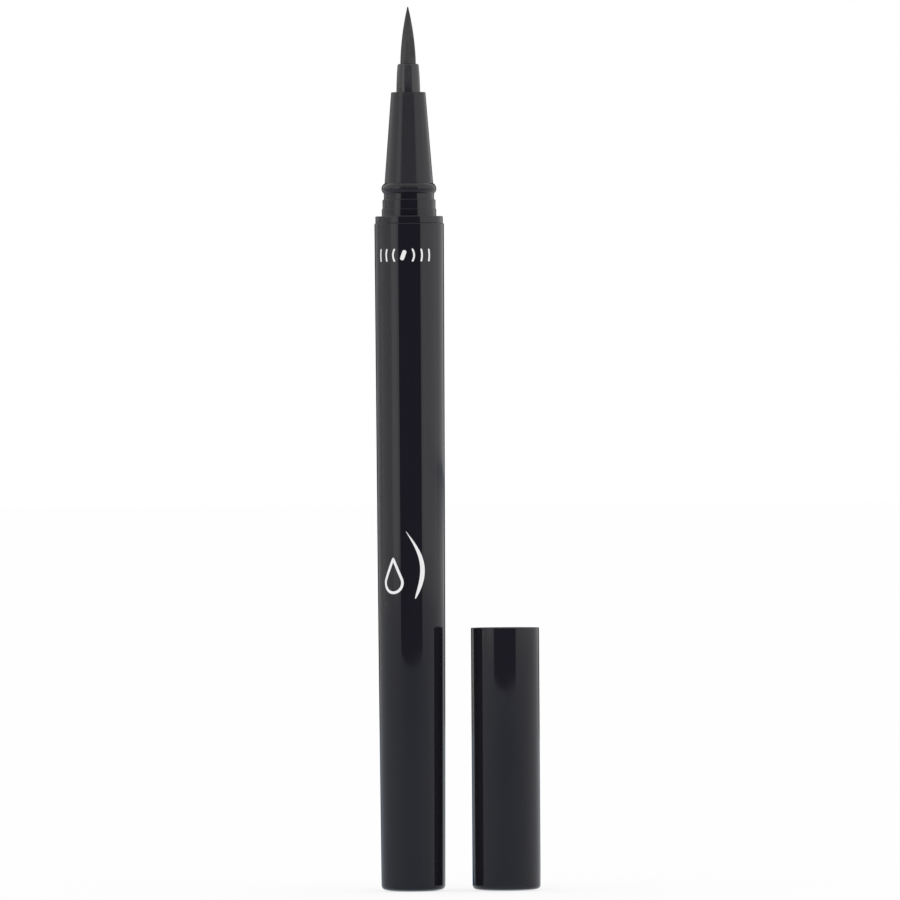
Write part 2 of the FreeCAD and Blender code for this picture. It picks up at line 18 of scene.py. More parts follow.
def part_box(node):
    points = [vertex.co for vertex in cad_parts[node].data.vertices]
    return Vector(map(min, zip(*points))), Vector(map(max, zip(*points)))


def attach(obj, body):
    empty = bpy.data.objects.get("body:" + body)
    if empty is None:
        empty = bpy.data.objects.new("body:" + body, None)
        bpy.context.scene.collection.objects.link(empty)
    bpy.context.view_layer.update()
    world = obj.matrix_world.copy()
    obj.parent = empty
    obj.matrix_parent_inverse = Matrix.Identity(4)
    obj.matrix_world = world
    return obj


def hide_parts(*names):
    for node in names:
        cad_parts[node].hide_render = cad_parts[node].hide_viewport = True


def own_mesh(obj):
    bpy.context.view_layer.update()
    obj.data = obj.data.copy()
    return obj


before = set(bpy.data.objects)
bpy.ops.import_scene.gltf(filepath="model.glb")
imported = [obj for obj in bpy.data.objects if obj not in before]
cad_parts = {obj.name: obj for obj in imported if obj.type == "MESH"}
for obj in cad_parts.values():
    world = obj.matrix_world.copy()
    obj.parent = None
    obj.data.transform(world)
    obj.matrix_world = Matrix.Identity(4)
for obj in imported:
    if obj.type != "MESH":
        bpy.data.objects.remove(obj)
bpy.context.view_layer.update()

LOG = logging.getLogger("eyeliner_pen")
MM = 0.001
FULL_TURN = 2 * math.pi
NOISE_MIDDLE = 0.5

Colour = tuple[float, float, float]
Point = tuple[float, float]
Stretch = tuple[float, float, float]
Stops = tuple[Point, ...]
Relief = Callable[[float, float, float], float]


class Body(enum.Enum):
    """The bodies of the frame that new pieces ride on."""

    PEN = "pen"
    CAP = "cap"
    SEAL_CUP = "seal_cup"


class Slot(enum.Enum):
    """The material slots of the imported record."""

    GLOSS_BLACK = "gloss_black"
    PLUG_BLACK = "plug_black"
    NATURAL_PLASTIC = "natural_plastic"
    NIB_FIBRE = "nib_fibre"
    SPRING_STEEL = "spring_steel"


# Shader maths


class Socket:
    """An output of a material's node that takes part in Python sums."""

    def __init__(self, graph: "Graph", socket: bpy.types.NodeSocket) -> None:
        """Keep the socket and the graph that new nodes go into."""
        self.graph = graph
        self.socket = socket

    def _join(self, operation: str, first: "Value", second: "Value") -> "Socket":
        """Add a Math node on two values."""
        return self.graph.add("ShaderNodeMath", {"operation": operation}, {0: first, 1: second})

    def __add__(self, other: "Value") -> "Socket":
        """This value plus another."""
        return self._join("ADD", self, other)

    def __radd__(self, other: "Value") -> "Socket":
        """Another value plus this one."""
        return self._join("ADD", other, self)

    def __sub__(self, other: "Value") -> "Socket":
        """This value minus another."""
        return self._join("SUBTRACT", self, other)

    def __rsub__(self, other: "Value") -> "Socket":
        """Another value minus this one."""
        return self._join("SUBTRACT", other, self)

    def __mul__(self, other: "Value") -> "Socket":
        """This value times another."""
        return self._join("MULTIPLY", self, other)

    def __rmul__(self, other: "Value") -> "Socket":
        """Another value times this one."""
        return self._join("MULTIPLY", other, self)

    def __truediv__(self, other: "Value") -> "Socket":
        """This value divided by another."""
        return self._join("DIVIDE", self, other)

    def __lt__(self, other: "Value") -> "Socket":
        """1 where this value is less than another, and 0 elsewhere."""
        return self._join("LESS_THAN", self, other)

    def __or__(self, other: "Value") -> "Socket":
        """The larger of this value and another."""
        return self._join("MAXIMUM", self, other)


Value = Socket | float | Sequence[float]


class Graph:
    """The node tree of one material or of the world."""

    MIX_FACTOR, MIX_FIRST, MIX_SECOND, MIX_RESULT = 0, 6, 7, 2

    def __init__(self, tree: bpy.types.NodeTree) -> None:
        """Empty the tree, ready for new nodes."""
        self.tree = tree
        tree.nodes.clear()

    def add(
        self,
        kind: str,
        settings: Mapping[str, object] | None = None,
        sockets: Mapping[str | int, "Value"] | None = None,
        output: str | int = 0,
    ) -> Socket:
        """Add a node.

        Args:
            kind: Type of the node.
            settings: Properties that are set first; "stops" are a ramp's places and colours.
            sockets: Values or links of the inputs, by name or number.
            output: Name or number of the output to return.

        Returns:
            The chosen output.
        """
        node = self.tree.nodes.new(kind)
        for name, value in (settings or {}).items():
            if name == "stops":
                self._set_stops(node.color_ramp, value)
            else:
                setattr(node, name, value)
        for key, value in (sockets or {}).items():
            self.feed(node.inputs[key], value)
        return Socket(self, node.outputs[output]) if node.outputs else Socket(self, None)

    def feed(self, target: bpy.types.NodeSocket, value: "Value") -> None:
        """Link an output to an input, or set the input's own value.

        Args:
            target: Input of a node.
            value: An output to link, or a plain value.
        """
        if isinstance(value, Socket):
            self.tree.links.new(value.socket, target)
        elif hasattr(target.default_value, "__len__") and len(target.default_value) > len(value):
            target.default_value = (*value, 1.0)
        else:
            target.default_value = value

    @staticmethod
    def _set_stops(ramp: bpy.types.ColorRamp, stops: Sequence[Point]) -> None:
        """Give a ramp its places and grey levels.

        Args:
            ramp: The ramp.
            stops: Place and level of each stop.
        """
        while len(ramp.elements) < len(stops):
            ramp.elements.new(1.0)
        for element, (place, level) in zip(ramp.elements, stops):
            element.position = place
            element.color = (level, level, level, 1.0)

    def place(self, stretch: Sequence[float] = (1.0, 1.0, 1.0)) -> Socket:
        """The piece's own coordinates in metres, stretched by a factor along each axis."""
        at = self.add("ShaderNodeTexCoord", output="Object")
        return self.add("ShaderNodeVectorMath", {"operation": "MULTIPLY"}, {0: at, 1: tuple(stretch)})

    def noise(self, grain: float, stretch: Sequence[float] = (1.0, 1.0, 1.0), detail: float = 3.0) -> Socket:
        """Soft noise.

        Args:
            grain: Size of its patches in metres.
            stretch: Factor on the coordinates along each axis; a small one draws streaks out.
            detail: Number of finer layers.

        Returns:
            The noise, from 0 to 1.
        """
        return self.add(
            "ShaderNodeTexNoise",
            {"noise_dimensions": "3D"},
            {"Vector": self.place(stretch), "Scale": 1.0 / grain, "Detail": detail},
        )

    def ramp(self, value: Socket, stops: Sequence[Point]) -> Socket:
        """A value passed through grey stops."""
        return self.add("ShaderNodeValToRGB", {"stops": stops}, {"Fac": value})

    def blend(self, factor: "Value", first: "Value", second: "Value") -> Socket:
        """A mix of two colours.

        Args:
            factor: Share of the second colour.
            first: Colour at 0.
            second: Colour at 1.

        Returns:
            The mixed colour.
        """
        return self.add(
            "ShaderNodeMix",
            {"data_type": "RGBA"},
            {self.MIX_FACTOR: factor, self.MIX_FIRST: first, self.MIX_SECOND: second},
            self.MIX_RESULT,
        )

    def bump(self, height: "Value", depth: float) -> Socket:
        """A normal from a height field of a given depth in metres."""
        return self.add("ShaderNodeBump", sockets={"Height": height, "Distance": depth, "Strength": 1.0})

    def surface(self, shader: Socket, output: str = "ShaderNodeOutputMaterial") -> None:
        """End the tree with its surface shader."""
        self.add(output, sockets={"Surface": shader})


@dataclass(frozen=True)
class Finish:
    """A surface finish: a Principled shader whose colour, gloss and relief vary a little."""

    name: str

    def inputs(self, graph: Graph) -> dict[str | int, "Value"]:
        """The inputs of the shader."""
        raise NotImplementedError

    def material(self) -> bpy.types.Material:
        """The finish as a material, made once.

        Returns:
            The material.
        """
        made = bpy.data.materials.get(self.name)
        if made is None:
            made = bpy.data.materials.new(self.name)
            made.use_nodes = True
            graph = Graph(made.node_tree)
            graph.surface(graph.add("ShaderNodeBsdfPrincipled", sockets=self.inputs(graph)))
        return made


@dataclass(frozen=True)
class GlossMoulding(Finish):
    """Polished black moulding with faint flow marks, wipe marks and a hint of orange peel."""

    dark: Colour = (0.0096, 0.0087, 0.0122)
    pale: Colour = (0.0136, 0.0127, 0.0162)
    roughness: float = 0.03
    roughness_swing: float = 0.035
    refraction: float = 1.455
    cloud_grain: float = 9 * MM
    wipe_grain: float = 1.6 * MM
    wipe_detail: float = 5.0
    wipe_stops: Stops = ((0.42, 0.0), (0.78, 1.0))
    peel_grain: float = 2.2 * MM
    peel_detail: float = 1.0
    peel_stretch: Stretch = (1.0, 1.0, 0.4)
    peel_depth: float = 0.0006 * MM
    lengthwise: Stretch = (1.0, 1.0, 0.12)

    def inputs(self, graph: Graph) -> dict[str | int, "Value"]:
        """Near-black colour, uneven gloss and a very shallow peel.

        Args:
            graph: The nodes of the material.

        Returns:
            The shader's inputs, by name.
        """
        cloud = graph.noise(self.cloud_grain, self.lengthwise)
        streaks = graph.noise(self.wipe_grain, self.lengthwise, self.wipe_detail)
        wipe = graph.ramp(streaks, self.wipe_stops)
        peel = graph.noise(self.peel_grain, self.peel_stretch, self.peel_detail)
        return {
            "Base Color": graph.blend(cloud, self.dark, self.pale),
            "Roughness": self.roughness + wipe * cloud * self.roughness_swing,
            "IOR": self.refraction,
            "Normal": graph.bump(peel, self.peel_depth),
        }


@dataclass(frozen=True)
class MatteMoulding(Finish):
    """Plain moulding with a fine spark-eroded grain."""

    dark: Colour = (0.012, 0.012, 0.014)
    pale: Colour = (0.026, 0.026, 0.028)
    roughness: float = 0.5
    roughness_swing: float = 0.15
    grain: float = 0.12 * MM
    grain_detail: float = 2.0
    cloud_in_grains: float = 30.0
    depth: float = 0.004 * MM
    milkiness: float = 0.0
    glow_depth: float = 0.6 * MM
    glow_spread: Colour = (1.0, 1.0, 0.9)

    def inputs(self, graph: Graph) -> dict[str | int, "Value"]:
        """Mottled colour, uneven gloss, fine grain, and some milky depth where it has any.

        Args:
            graph: The nodes of the material.

        Returns:
            The shader's inputs, by name.
        """
        grain = graph.noise(self.grain, detail=self.grain_detail)
        cloud = graph.noise(self.grain * self.cloud_in_grains)
        return {
            "Base Color": graph.blend(cloud, self.dark, self.pale),
            "Roughness": self.roughness + (grain - NOISE_MIDDLE) * self.roughness_swing,
            "Subsurface Weight": self.milkiness,
            "Subsurface Radius": self.glow_spread,
            "Subsurface Scale": self.glow_depth,
            "Normal": graph.bump(grain, self.depth),
        }


@dataclass(frozen=True)
class FibreBundle(Finish):
    """Bonded fibres that run lengthwise: streaks of tone and fine ridges."""

    dark: Colour = (0.018, 0.016, 0.016)
    pale: Colour = (0.060, 0.056, 0.056)
    roughness: float = 0.72
    roughness_swing: float = 0.2
    fibre: float = 0.085 * MM
    streak_detail: float = 4.0
    wide_in_fibres: float = 5.0
    wide_detail: float = 2.0
    wide_share: float = 0.4
    tone_stops: Stops = ((0.34, 0.0), (0.66, 1.0))
    depth: float = 0.02 * MM
    lengthwise: Stretch = (1.0, 1.0, 0.025)
    sheen: float = 0.04

    def inputs(self, graph: Graph) -> dict[str | int, "Value"]:
        """Streaked colour, dull gloss, a little fuzz and lengthwise ridges.

        Args:
            graph: The nodes of the material.

        Returns:
            The shader's inputs, by name.
        """
        streak = graph.noise(self.fibre, self.lengthwise, self.streak_detail)
        wide = graph.noise(self.fibre * self.wide_in_fibres, self.lengthwise, self.wide_detail)
        mixed = streak * (1 - self.wide_share) + wide * self.wide_share
        tone = graph.ramp(mixed, self.tone_stops)
        return {
            "Base Color": graph.blend(tone, self.dark, self.pale),
            "Roughness": self.roughness - tone * self.roughness_swing,
            "Sheen Weight": self.sheen,
            "Normal": graph.bump(streak, self.depth),
        }


@dataclass(frozen=True)
class SteelFinish(Finish):
    """Bare steel with drawn or polished marks."""

    dark: Colour = (0.5, 0.5, 0.51)
    pale: Colour = (0.68, 0.68, 0.68)
    roughness: float = 0.12
    roughness_swing: float = 0.12
    grain: float = 0.25 * MM
    cloud_in_grains: float = 6.0
    scratch_stretch: Stretch = (1.0, 0.15, 1.0)
    scratch_detail: float = 6.0
    depth: float = 0.001 * MM

    def inputs(self, graph: Graph) -> dict[str | int, "Value"]:
        """Bright metal with uneven polish and faint scratches.

        Args:
            graph: The nodes of the material.

        Returns:
            The shader's inputs, by name.
        """
        cloud = graph.noise(self.grain * self.cloud_in_grains)
        scratch = graph.noise(self.grain, self.scratch_stretch, self.scratch_detail)
        return {
            "Base Color": graph.blend(cloud, self.dark, self.pale),
            "Metallic": 1.0,
            "Roughness": self.roughness + scratch * self.roughness_swing,
            "Normal": graph.bump(scratch, self.depth),
        }


@dataclass(frozen=True)
class PrintInk(Finish):
    """White pad-printed ink with a slightly uneven cover."""

    thin: Colour = (0.78, 0.78, 0.79)
    full: Colour = (0.93, 0.93, 0.93)
    roughness: float = 0.38
    roughness_swing: float = 0.2
    grain: float = 0.3 * MM
    grain_detail: float = 5.0
    depth: float = 0.002 * MM

    def inputs(self, graph: Graph) -> dict[str | int, "Value"]:
        """White with fine mottling and a soft skin.

        Args:
            graph: The nodes of the material.

        Returns:
            The shader's inputs, by name.
        """
        cover = graph.noise(self.grain, detail=self.grain_detail)
        return {
            "Base Color": graph.blend(cover, self.thin, self.full),
            "Roughness": self.roughness + (cover - NOISE_MIDDLE) * self.roughness_swing,
            "Normal": graph.bump(cover, self.depth),
        }


GLOSS_BLACK = GlossMoulding("polished_black")
HOLDER_BLACK = GlossMoulding("polished_holder", refraction=1.62)
PLUG_BLACK = MatteMoulding("grained_black")
NATURAL_PLASTIC = MatteMoulding(
    "milky_plastic",
    dark=(0.74, 0.75, 0.71),
    pale=(0.82, 0.83, 0.80),
    roughness=0.38,
    depth=0.002 * MM,
    milkiness=0.25,
)
NIB_FIBRE = FibreBundle("brush_fibre")
CORE_FIBRE = FibreBundle("wick_fibre", dark=(0.40, 0.39, 0.37), pale=(0.60, 0.59, 0.56), sheen=0.05)
BALL_STEEL = SteelFinish("bright_steel", roughness=0.06, roughness_swing=0.06)
SPRING_STEEL = SteelFinish("drawn_steel", roughness=0.2)
PRINT_INK = PrintInk("white_ink")


# Turned forms


@dataclass(frozen=True)
class NodeBox:
    """Where a node of the frame stands."""

    bottom: float
    top: float
    radius: float
    axis: Vector

    @classmethod
    def of(cls, node: str) -> "NodeBox":
        """Measure a node.

        Args:
            node: Its name in the frame.

        Returns:
            Its heights, its largest radius and the foot of its axis.
        """
        low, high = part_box(node)
        across = max(high.x - low.x, high.y - low.y)
        middle = (low + high) / 2
        return cls(low.z, high.z, across / 2, Vector((middle.x, middle.y, 0.0)))


@dataclass(frozen=True)
class Corner:
    """A corner of an outline, rounded over a reach along both of its sides."""

    radius: float
    height: float
    reach: float = 0.0

    def at(self) -> Vector:
        """The corner as a flat point."""
        return Vector((self.radius, self.height))


class Outline:
    """Radius and height of a turned piece, from corner to corner.

    The outline closes on itself, or on the axis where it starts and ends there.
    """

    ARC_STEP = math.radians(11)
    LEAST_ARC_STEPS = 4
    SUPPORT = 0.04 * MM
    LONG_RUN = 4 * SUPPORT

    def __init__(self) -> None:
        """Start with no corners."""
        self.corners: list[Corner] = []

    def to(self, radius: float, height: float, reach: float = 0.0) -> "Outline":
        """Run straight to a corner.

        Args:
            radius: Radius of the corner.
            height: Height of the corner.
            reach: How far its rounding runs along both sides.

        Returns:
            The outline itself.
        """
        self.corners.append(Corner(radius, height, reach))
        return self

    def bow(self, radius: float, height: float, rise: float, steps: int = 16) -> "Outline":
        """Run to a corner on an arc that bows out to the right of the way.

        Args:
            radius: Radius of the corner.
            height: Height of the corner.
            rise: How far the arc's middle stands off the straight way.
            steps: Number of straight steps along the arc.

        Returns:
            The outline itself.
        """
        start = self.corners[-1].at()
        end = Vector((radius, height))
        chord = end - start
        along = chord.normalized()
        outward = Vector((along.y, -along.x))
        round_radius = (chord.length_squared / 4 + rise * rise) / (2 * rise)
        half_angle = math.asin(chord.length / (2 * round_radius))
        centre = (start + end) / 2 + outward * (rise - round_radius)
        for step in range(1, steps):
            angle = half_angle * (2 * step / steps - 1)
            at = centre + (along * math.sin(angle) + outward * math.cos(angle)) * round_radius
            self.to(at.x, at.y)
        return self.to(radius, height)

    def ribs(self, count: int, height: float, rib: float, low: float, span: Point) -> "Outline":
        """Run upwards past evenly spaced ribs.

        Args:
            count: Number of ribs.
            height: Height of each rib.
            rib: Radius of the ribs.
            low: Radius between them.
            span: Heights between which they are spaced.

        Returns:
            The outline itself.
        """
        bottom, top = span
        pitch = (top - bottom) / (count + 1)
        for number in range(1, count + 1):
            middle = bottom + pitch * number
            self.to(low, middle - height / 2).to(rib, middle - height / 2)
            self.to(rib, middle + height / 2).to(low, middle + height / 2)
        return self

    @property
    def on_axis(self) -> bool:
        """Whether the outline starts and ends on the axis."""
        return self.corners[0].radius == 0 and self.corners[-1].radius == 0

    def _arc(self, before: Vector, corner: Corner, after: Vector) -> list[Vector]:
        """Round a corner.

        Args:
            before: The corner before it.
            corner: The corner to round.
            after: The corner after it.

        Returns:
            The points of its arc.
        """
        at = corner.at()
        back = (before - at).normalized()
        onward = (after - at).normalized()
        start = at + back * corner.reach
        end = at + onward * corner.reach
        turn = math.pi - back.angle(onward)
        half_angle = turn / 2
        radius = corner.reach / math.tan(half_angle)
        centre = at + (back + onward).normalized() * (radius / math.cos(half_angle))
        steps = max(self.LEAST_ARC_STEPS, math.ceil(turn / self.ARC_STEP))
        spokes = (start - centre, end - centre)
        points = []
        for step in range(steps + 1):
            share = step / steps
            weight = math.sin(turn * (1 - share)), math.sin(turn * share)
            spoke = (spokes[0] * weight[0] + spokes[1] * weight[1]) / math.sin(turn)
            points.append(centre + spoke)
        return points

    def _with_support(self, points: list[Vector]) -> list[Vector]:
        """Add a point close to both ends of each long run, so that shading stays flat between.

        Args:
            points: The outline's points.

        Returns:
            The points, with those added.
        """
        supported = []
        ends = zip(points, points[1:] if self.on_axis else points[1:] + points[:1])
        for start, end in ends:
            supported.append(start)
            run = end - start
            if run.length > self.LONG_RUN:
                inset = run.normalized() * self.SUPPORT
                supported += [start + inset, end - inset]
        if self.on_axis:
            supported.append(points[-1])
        return supported

    def points(self) -> list[Vector]:
        """All points of the outline, with rounded corners and support points.

        Returns:
            The points, in order.
        """
        made: list[Vector] = []
        count = len(self.corners)
        for index, corner in enumerate(self.corners):
            if corner.reach == 0:
                made.append(corner.at())
                continue
            before = self.corners[index - 1].at()
            after = self.corners[(index + 1) % count].at()
            made += self._arc(before, corner, after)
        return self._with_support(made)


@dataclass(frozen=True)
class Grooves:
    """A ring of lengthwise grooves cut into a turned piece."""

    count: int
    width: float
    floor: float
    bottom: float
    top: float
    EDGE_SHARE = 0.02

    @property
    def half_angle(self) -> float:
        """Half of the angle that a groove covers."""
        return math.asin(self.width / 2 / self.floor)

    def middles(self) -> list[float]:
        """Angles of the grooves' middles."""
        return [FULL_TURN * number / self.count for number in range(self.count)]

    def edges(self) -> list[float]:
        """Angles just inside and just outside the grooves' walls.

        Returns:
            The angles.
        """
        half = self.half_angle
        shares = (1 - self.EDGE_SHARE, 1 + self.EDGE_SHARE)
        offsets = [side * half * share for side in (-1, 1) for share in shares]
        return [(middle + offset) % FULL_TURN for middle in self.middles() for offset in offsets]

    def relief(self, angle: float, radius: float, height: float) -> float:
        """Cut the grooves at a point of the piece.

        Args:
            angle: Angle of the point.
            radius: Its radius before the cut.
            height: Its height.

        Returns:
            Its radius after the cut.
        """
        off = min(abs(math.remainder(angle - middle, FULL_TURN)) for middle in self.middles())
        if off > self.half_angle or not self.bottom <= height <= self.top:
            return radius
        return min(radius, self.floor)


@dataclass(frozen=True)
class Lathe:
    """Turns outlines into meshes about an upright axis."""

    axis: Vector
    steps: int = 192
    SHARP = math.radians(32)
    WELD = 1e-7

    def angles(self, extra: Iterable[float] = ()) -> list[float]:
        """Angles of the mesh's columns, with extra ones where the piece needs them."""
        even = [FULL_TURN * step / self.steps for step in range(self.steps)]
        return sorted(set(even) | set(extra))

    def turn(
        self,
        name: str,
        outline: Outline,
        relief: Relief | None = None,
        extra_angles: Iterable[float] = (),
    ) -> bpy.types.Object:
        """Turn an outline.

        Args:
            name: Name of the new piece.
            outline: What to turn.
            relief: Gives the radius at an angle, a radius and a height, where it isn't round.
            extra_angles: More columns, besides the even ones.

        Returns:
            The new object.
        """
        angles = self.angles(extra_angles)
        mesh = bmesh.new()
        rings = [self._ring(mesh, angles, at, relief) for at in outline.points()]
        pairs = list(zip(rings, rings[1:]))
        if not outline.on_axis:
            pairs.append((rings[-1], rings[0]))
        for lower, upper in pairs:
            self._band(mesh, lower, upper)
        bmesh.ops.remove_doubles(mesh, verts=mesh.verts, dist=self.WELD)
        bmesh.ops.recalc_face_normals(mesh, faces=mesh.faces)
        return add_object(name, mesh, self.SHARP)

    def _ring(
        self, mesh: bmesh.types.BMesh, angles: list[float], at: Vector, relief: Relief | None
    ) -> list[bmesh.types.BMVert]:
        """Turn one point of the outline.

        Args:
            mesh: The mesh that is made.
            angles: Angles of its columns.
            at: The point of the outline.
            relief: Gives the radius where the piece isn't round.

        Returns:
            A ring of vertices, or one vertex on the axis.
        """
        if at.x < self.WELD:
            return [mesh.verts.new((*self.axis.xy, at.y))]
        ring = []
        for angle in angles:
            radius = relief(angle, at.x, at.y) if relief else at.x
            x = self.axis.x + radius * math.sin(angle)
            y = self.axis.y - radius * math.cos(angle)
            ring.append(mesh.verts.new((x, y, at.y)))
        return ring

    @staticmethod
    def _band(
        mesh: bmesh.types.BMesh, lower: list[bmesh.types.BMVert], upper: list[bmesh.types.BMVert]
    ) -> None:
        """Join two rings, or a ring and the axis, with faces.

        Args:
            mesh: The mesh that is made.
            lower: One ring, or a vertex on the axis.
            upper: The next ring, or a vertex on the axis.
        """
        count = max(len(lower), len(upper))
        for column in range(count):
            following = (column + 1) % count
            corners = [
                lower[column % len(lower)],
                lower[following % len(lower)],
                upper[following % len(upper)],
                upper[column % len(upper)],
            ]
            mesh.faces.new(list(dict.fromkeys(corners)))


def add_object(name: str, mesh: bmesh.types.BMesh, sharp: float) -> bpy.types.Object:
    """Put a mesh into the scene.

    Args:
        name: Name of the new object.
        mesh: Its mesh, which is freed.
        sharp: Angle above which an edge is sharp.

    Returns:
        The new object.
    """
    data = bpy.data.meshes.new(name)
    mesh.to_mesh(data)
    mesh.free()
    data.shade_smooth()
    data.set_sharp_from_angle(angle=sharp)
    made = bpy.data.objects.new(name, data)
    bpy.context.scene.collection.objects.link(made)
    return made


def dress(piece: bpy.types.Object, finish: Finish) -> None:
    """Give a piece its finish."""
    piece.data.materials.clear()
    piece.data.materials.append(finish.material())


def settle(
    piece: bpy.types.Object, finish: Finish, body: Body, node: str | None = None
) -> bpy.types.Object:
    """Dress a new piece and set it on its body.

    Args:
        piece: The new piece, in its place.
        finish: Its finish.
        body: The body that it moves with.
        node: The node of the frame that it stands for.

    Returns:
        The piece.
    """
    dress(piece, finish)
    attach(piece, body.value)
    if node:
        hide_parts(node)
    LOG.info("%s: %d faces, rides on %s", piece.name, len(piece.data.polygons), body.value)
    return piece


# Print on the barrel


@dataclass(frozen=True)
class Stroke:
    """A line of print: its middle line on the flat, its widths, and whether it closes on itself."""

    line: Sequence[Point]
    widths: Sequence[float]
    closed: bool = False

    @classmethod
    def even(cls, line: Sequence[Point], width: float, closed: bool = False) -> "Stroke":
        """A stroke of one width, with round ends where it has any.

        Args:
            line: Its middle line.
            width: Its width.
            closed: Whether it closes on itself.

        Returns:
            The stroke.
        """
        if closed:
            return cls(line, [width] * len(line), True)
        half = width / 2
        first, last = Vector(line[0]), Vector(line[-1])
        widths = []
        for at in map(Vector, line):
            inset = min((at - first).length, (at - last).length, half)
            widths.append(2 * math.sqrt(half * half - (half - inset) ** 2))
        return cls(line, widths)


@dataclass(frozen=True)
class BarrelPrint:
    """White marks printed on the round of the barrel."""

    axis: Vector
    radius_at: Callable[[float], float]
    lift: float = 0.008 * MM
    sink: float = 0.004 * MM
    across_steps: int = 6
    SHARP = math.radians(60)

    def wrap(self, at: Vector, heading: float, lift: float) -> Vector:
        """Lay a flat point on the barrel.

        Args:
            at: Distance round the barrel from the mark's middle, and height.
            heading: Angle of the mark's middle, from the front towards +X.
            lift: Height above the barrel's surface.

        Returns:
            The point in the frame.
        """
        surface = self.radius_at(at.y)
        angle = heading + at.x / surface
        radius = surface + lift
        return self.axis + Vector((radius * math.sin(angle), -radius * math.cos(angle), at.y))

    def print(self, name: str, strokes: Sequence[Stroke], middle: Point) -> bpy.types.Object:
        """Print a mark.

        Args:
            name: Name of the new piece.
            strokes: Its strokes, about their own middle.
            middle: Heading round the barrel and height of that middle.

        Returns:
            The new object.
        """
        heading, height = middle
        mesh = bmesh.new()
        for stroke in strokes:
            self._lay(mesh, stroke, heading, height)
        bmesh.ops.remove_doubles(mesh, verts=mesh.verts, dist=Lathe.WELD)
        bmesh.ops.recalc_face_normals(mesh, faces=mesh.faces)
        return add_object(name, mesh, self.SHARP)

    def _lay(self, mesh: bmesh.types.BMesh, stroke: Stroke, heading: float, height: float) -> None:
        """Lay one stroke as a thin closed skin.

        Args:
            mesh: The mesh that is made.
            stroke: The stroke.
            heading: Angle of the mark's middle, from the front towards +X.
            height: Height of that middle.
        """
        line = [Vector((x, y + height)) for x, y in stroke.line]
        count = len(line)
        loops = []
        for index, at in enumerate(line):
            before = line[index - 1] if index or stroke.closed else at
            after = line[(index + 1) % count] if index + 1 < count or stroke.closed else at
            way = (after - before).normalized()
            side = Vector((way.y, -way.x)) * stroke.widths[index]
            shares = [step / self.across_steps - 0.5 for step in range(self.across_steps + 1)]
            flat = [at + side * share for share in shares]
            top = [mesh.verts.new(self.wrap(point, heading, self.lift)) for point in flat]
            low = [mesh.verts.new(self.wrap(point, heading, -self.sink)) for point in reversed(flat)]
            loops.append(top + low)
        pairs = list(zip(loops, loops[1:]))
        if stroke.closed:
            pairs.append((loops[-1], loops[0]))
        for first, second in pairs:
            size = len(first)
            for column in range(size):
                following = (column + 1) % size
                mesh.faces.new((first[column], first[following], second[following], second[column]))
        if not stroke.closed:
            mesh.faces.new(loops[0])
            mesh.faces.new(loops[-1])


def arc_line(centre: Point, radius: float, start: float, end: float, steps: int = 24) -> list[Point]:
    """Points of an arc on the flat.

    Args:
        centre: Its centre.
        radius: Its radius.
        start: Angle of its first point, from the horizontal.
        end: Angle of its last point.
        steps: Number of steps.

    Returns:
        The points.
    """
    angles = [start + (end - start) * step / steps for step in range(steps + 1)]
    return [(centre[0] + radius * math.cos(angle), centre[1] + radius * math.sin(angle)) for angle in angles]


def straight_line(start: Point, end: Point, steps: int = 24) -> list[Point]:
    """Points of a straight line on the flat, close together near its ends."""
    shares = [(1 - math.cos(math.pi * step / steps)) / 2 for step in range(steps + 1)]
    return [tuple(Vector(start).lerp(Vector(end), share)) for share in shares]


# Sub-assemblies


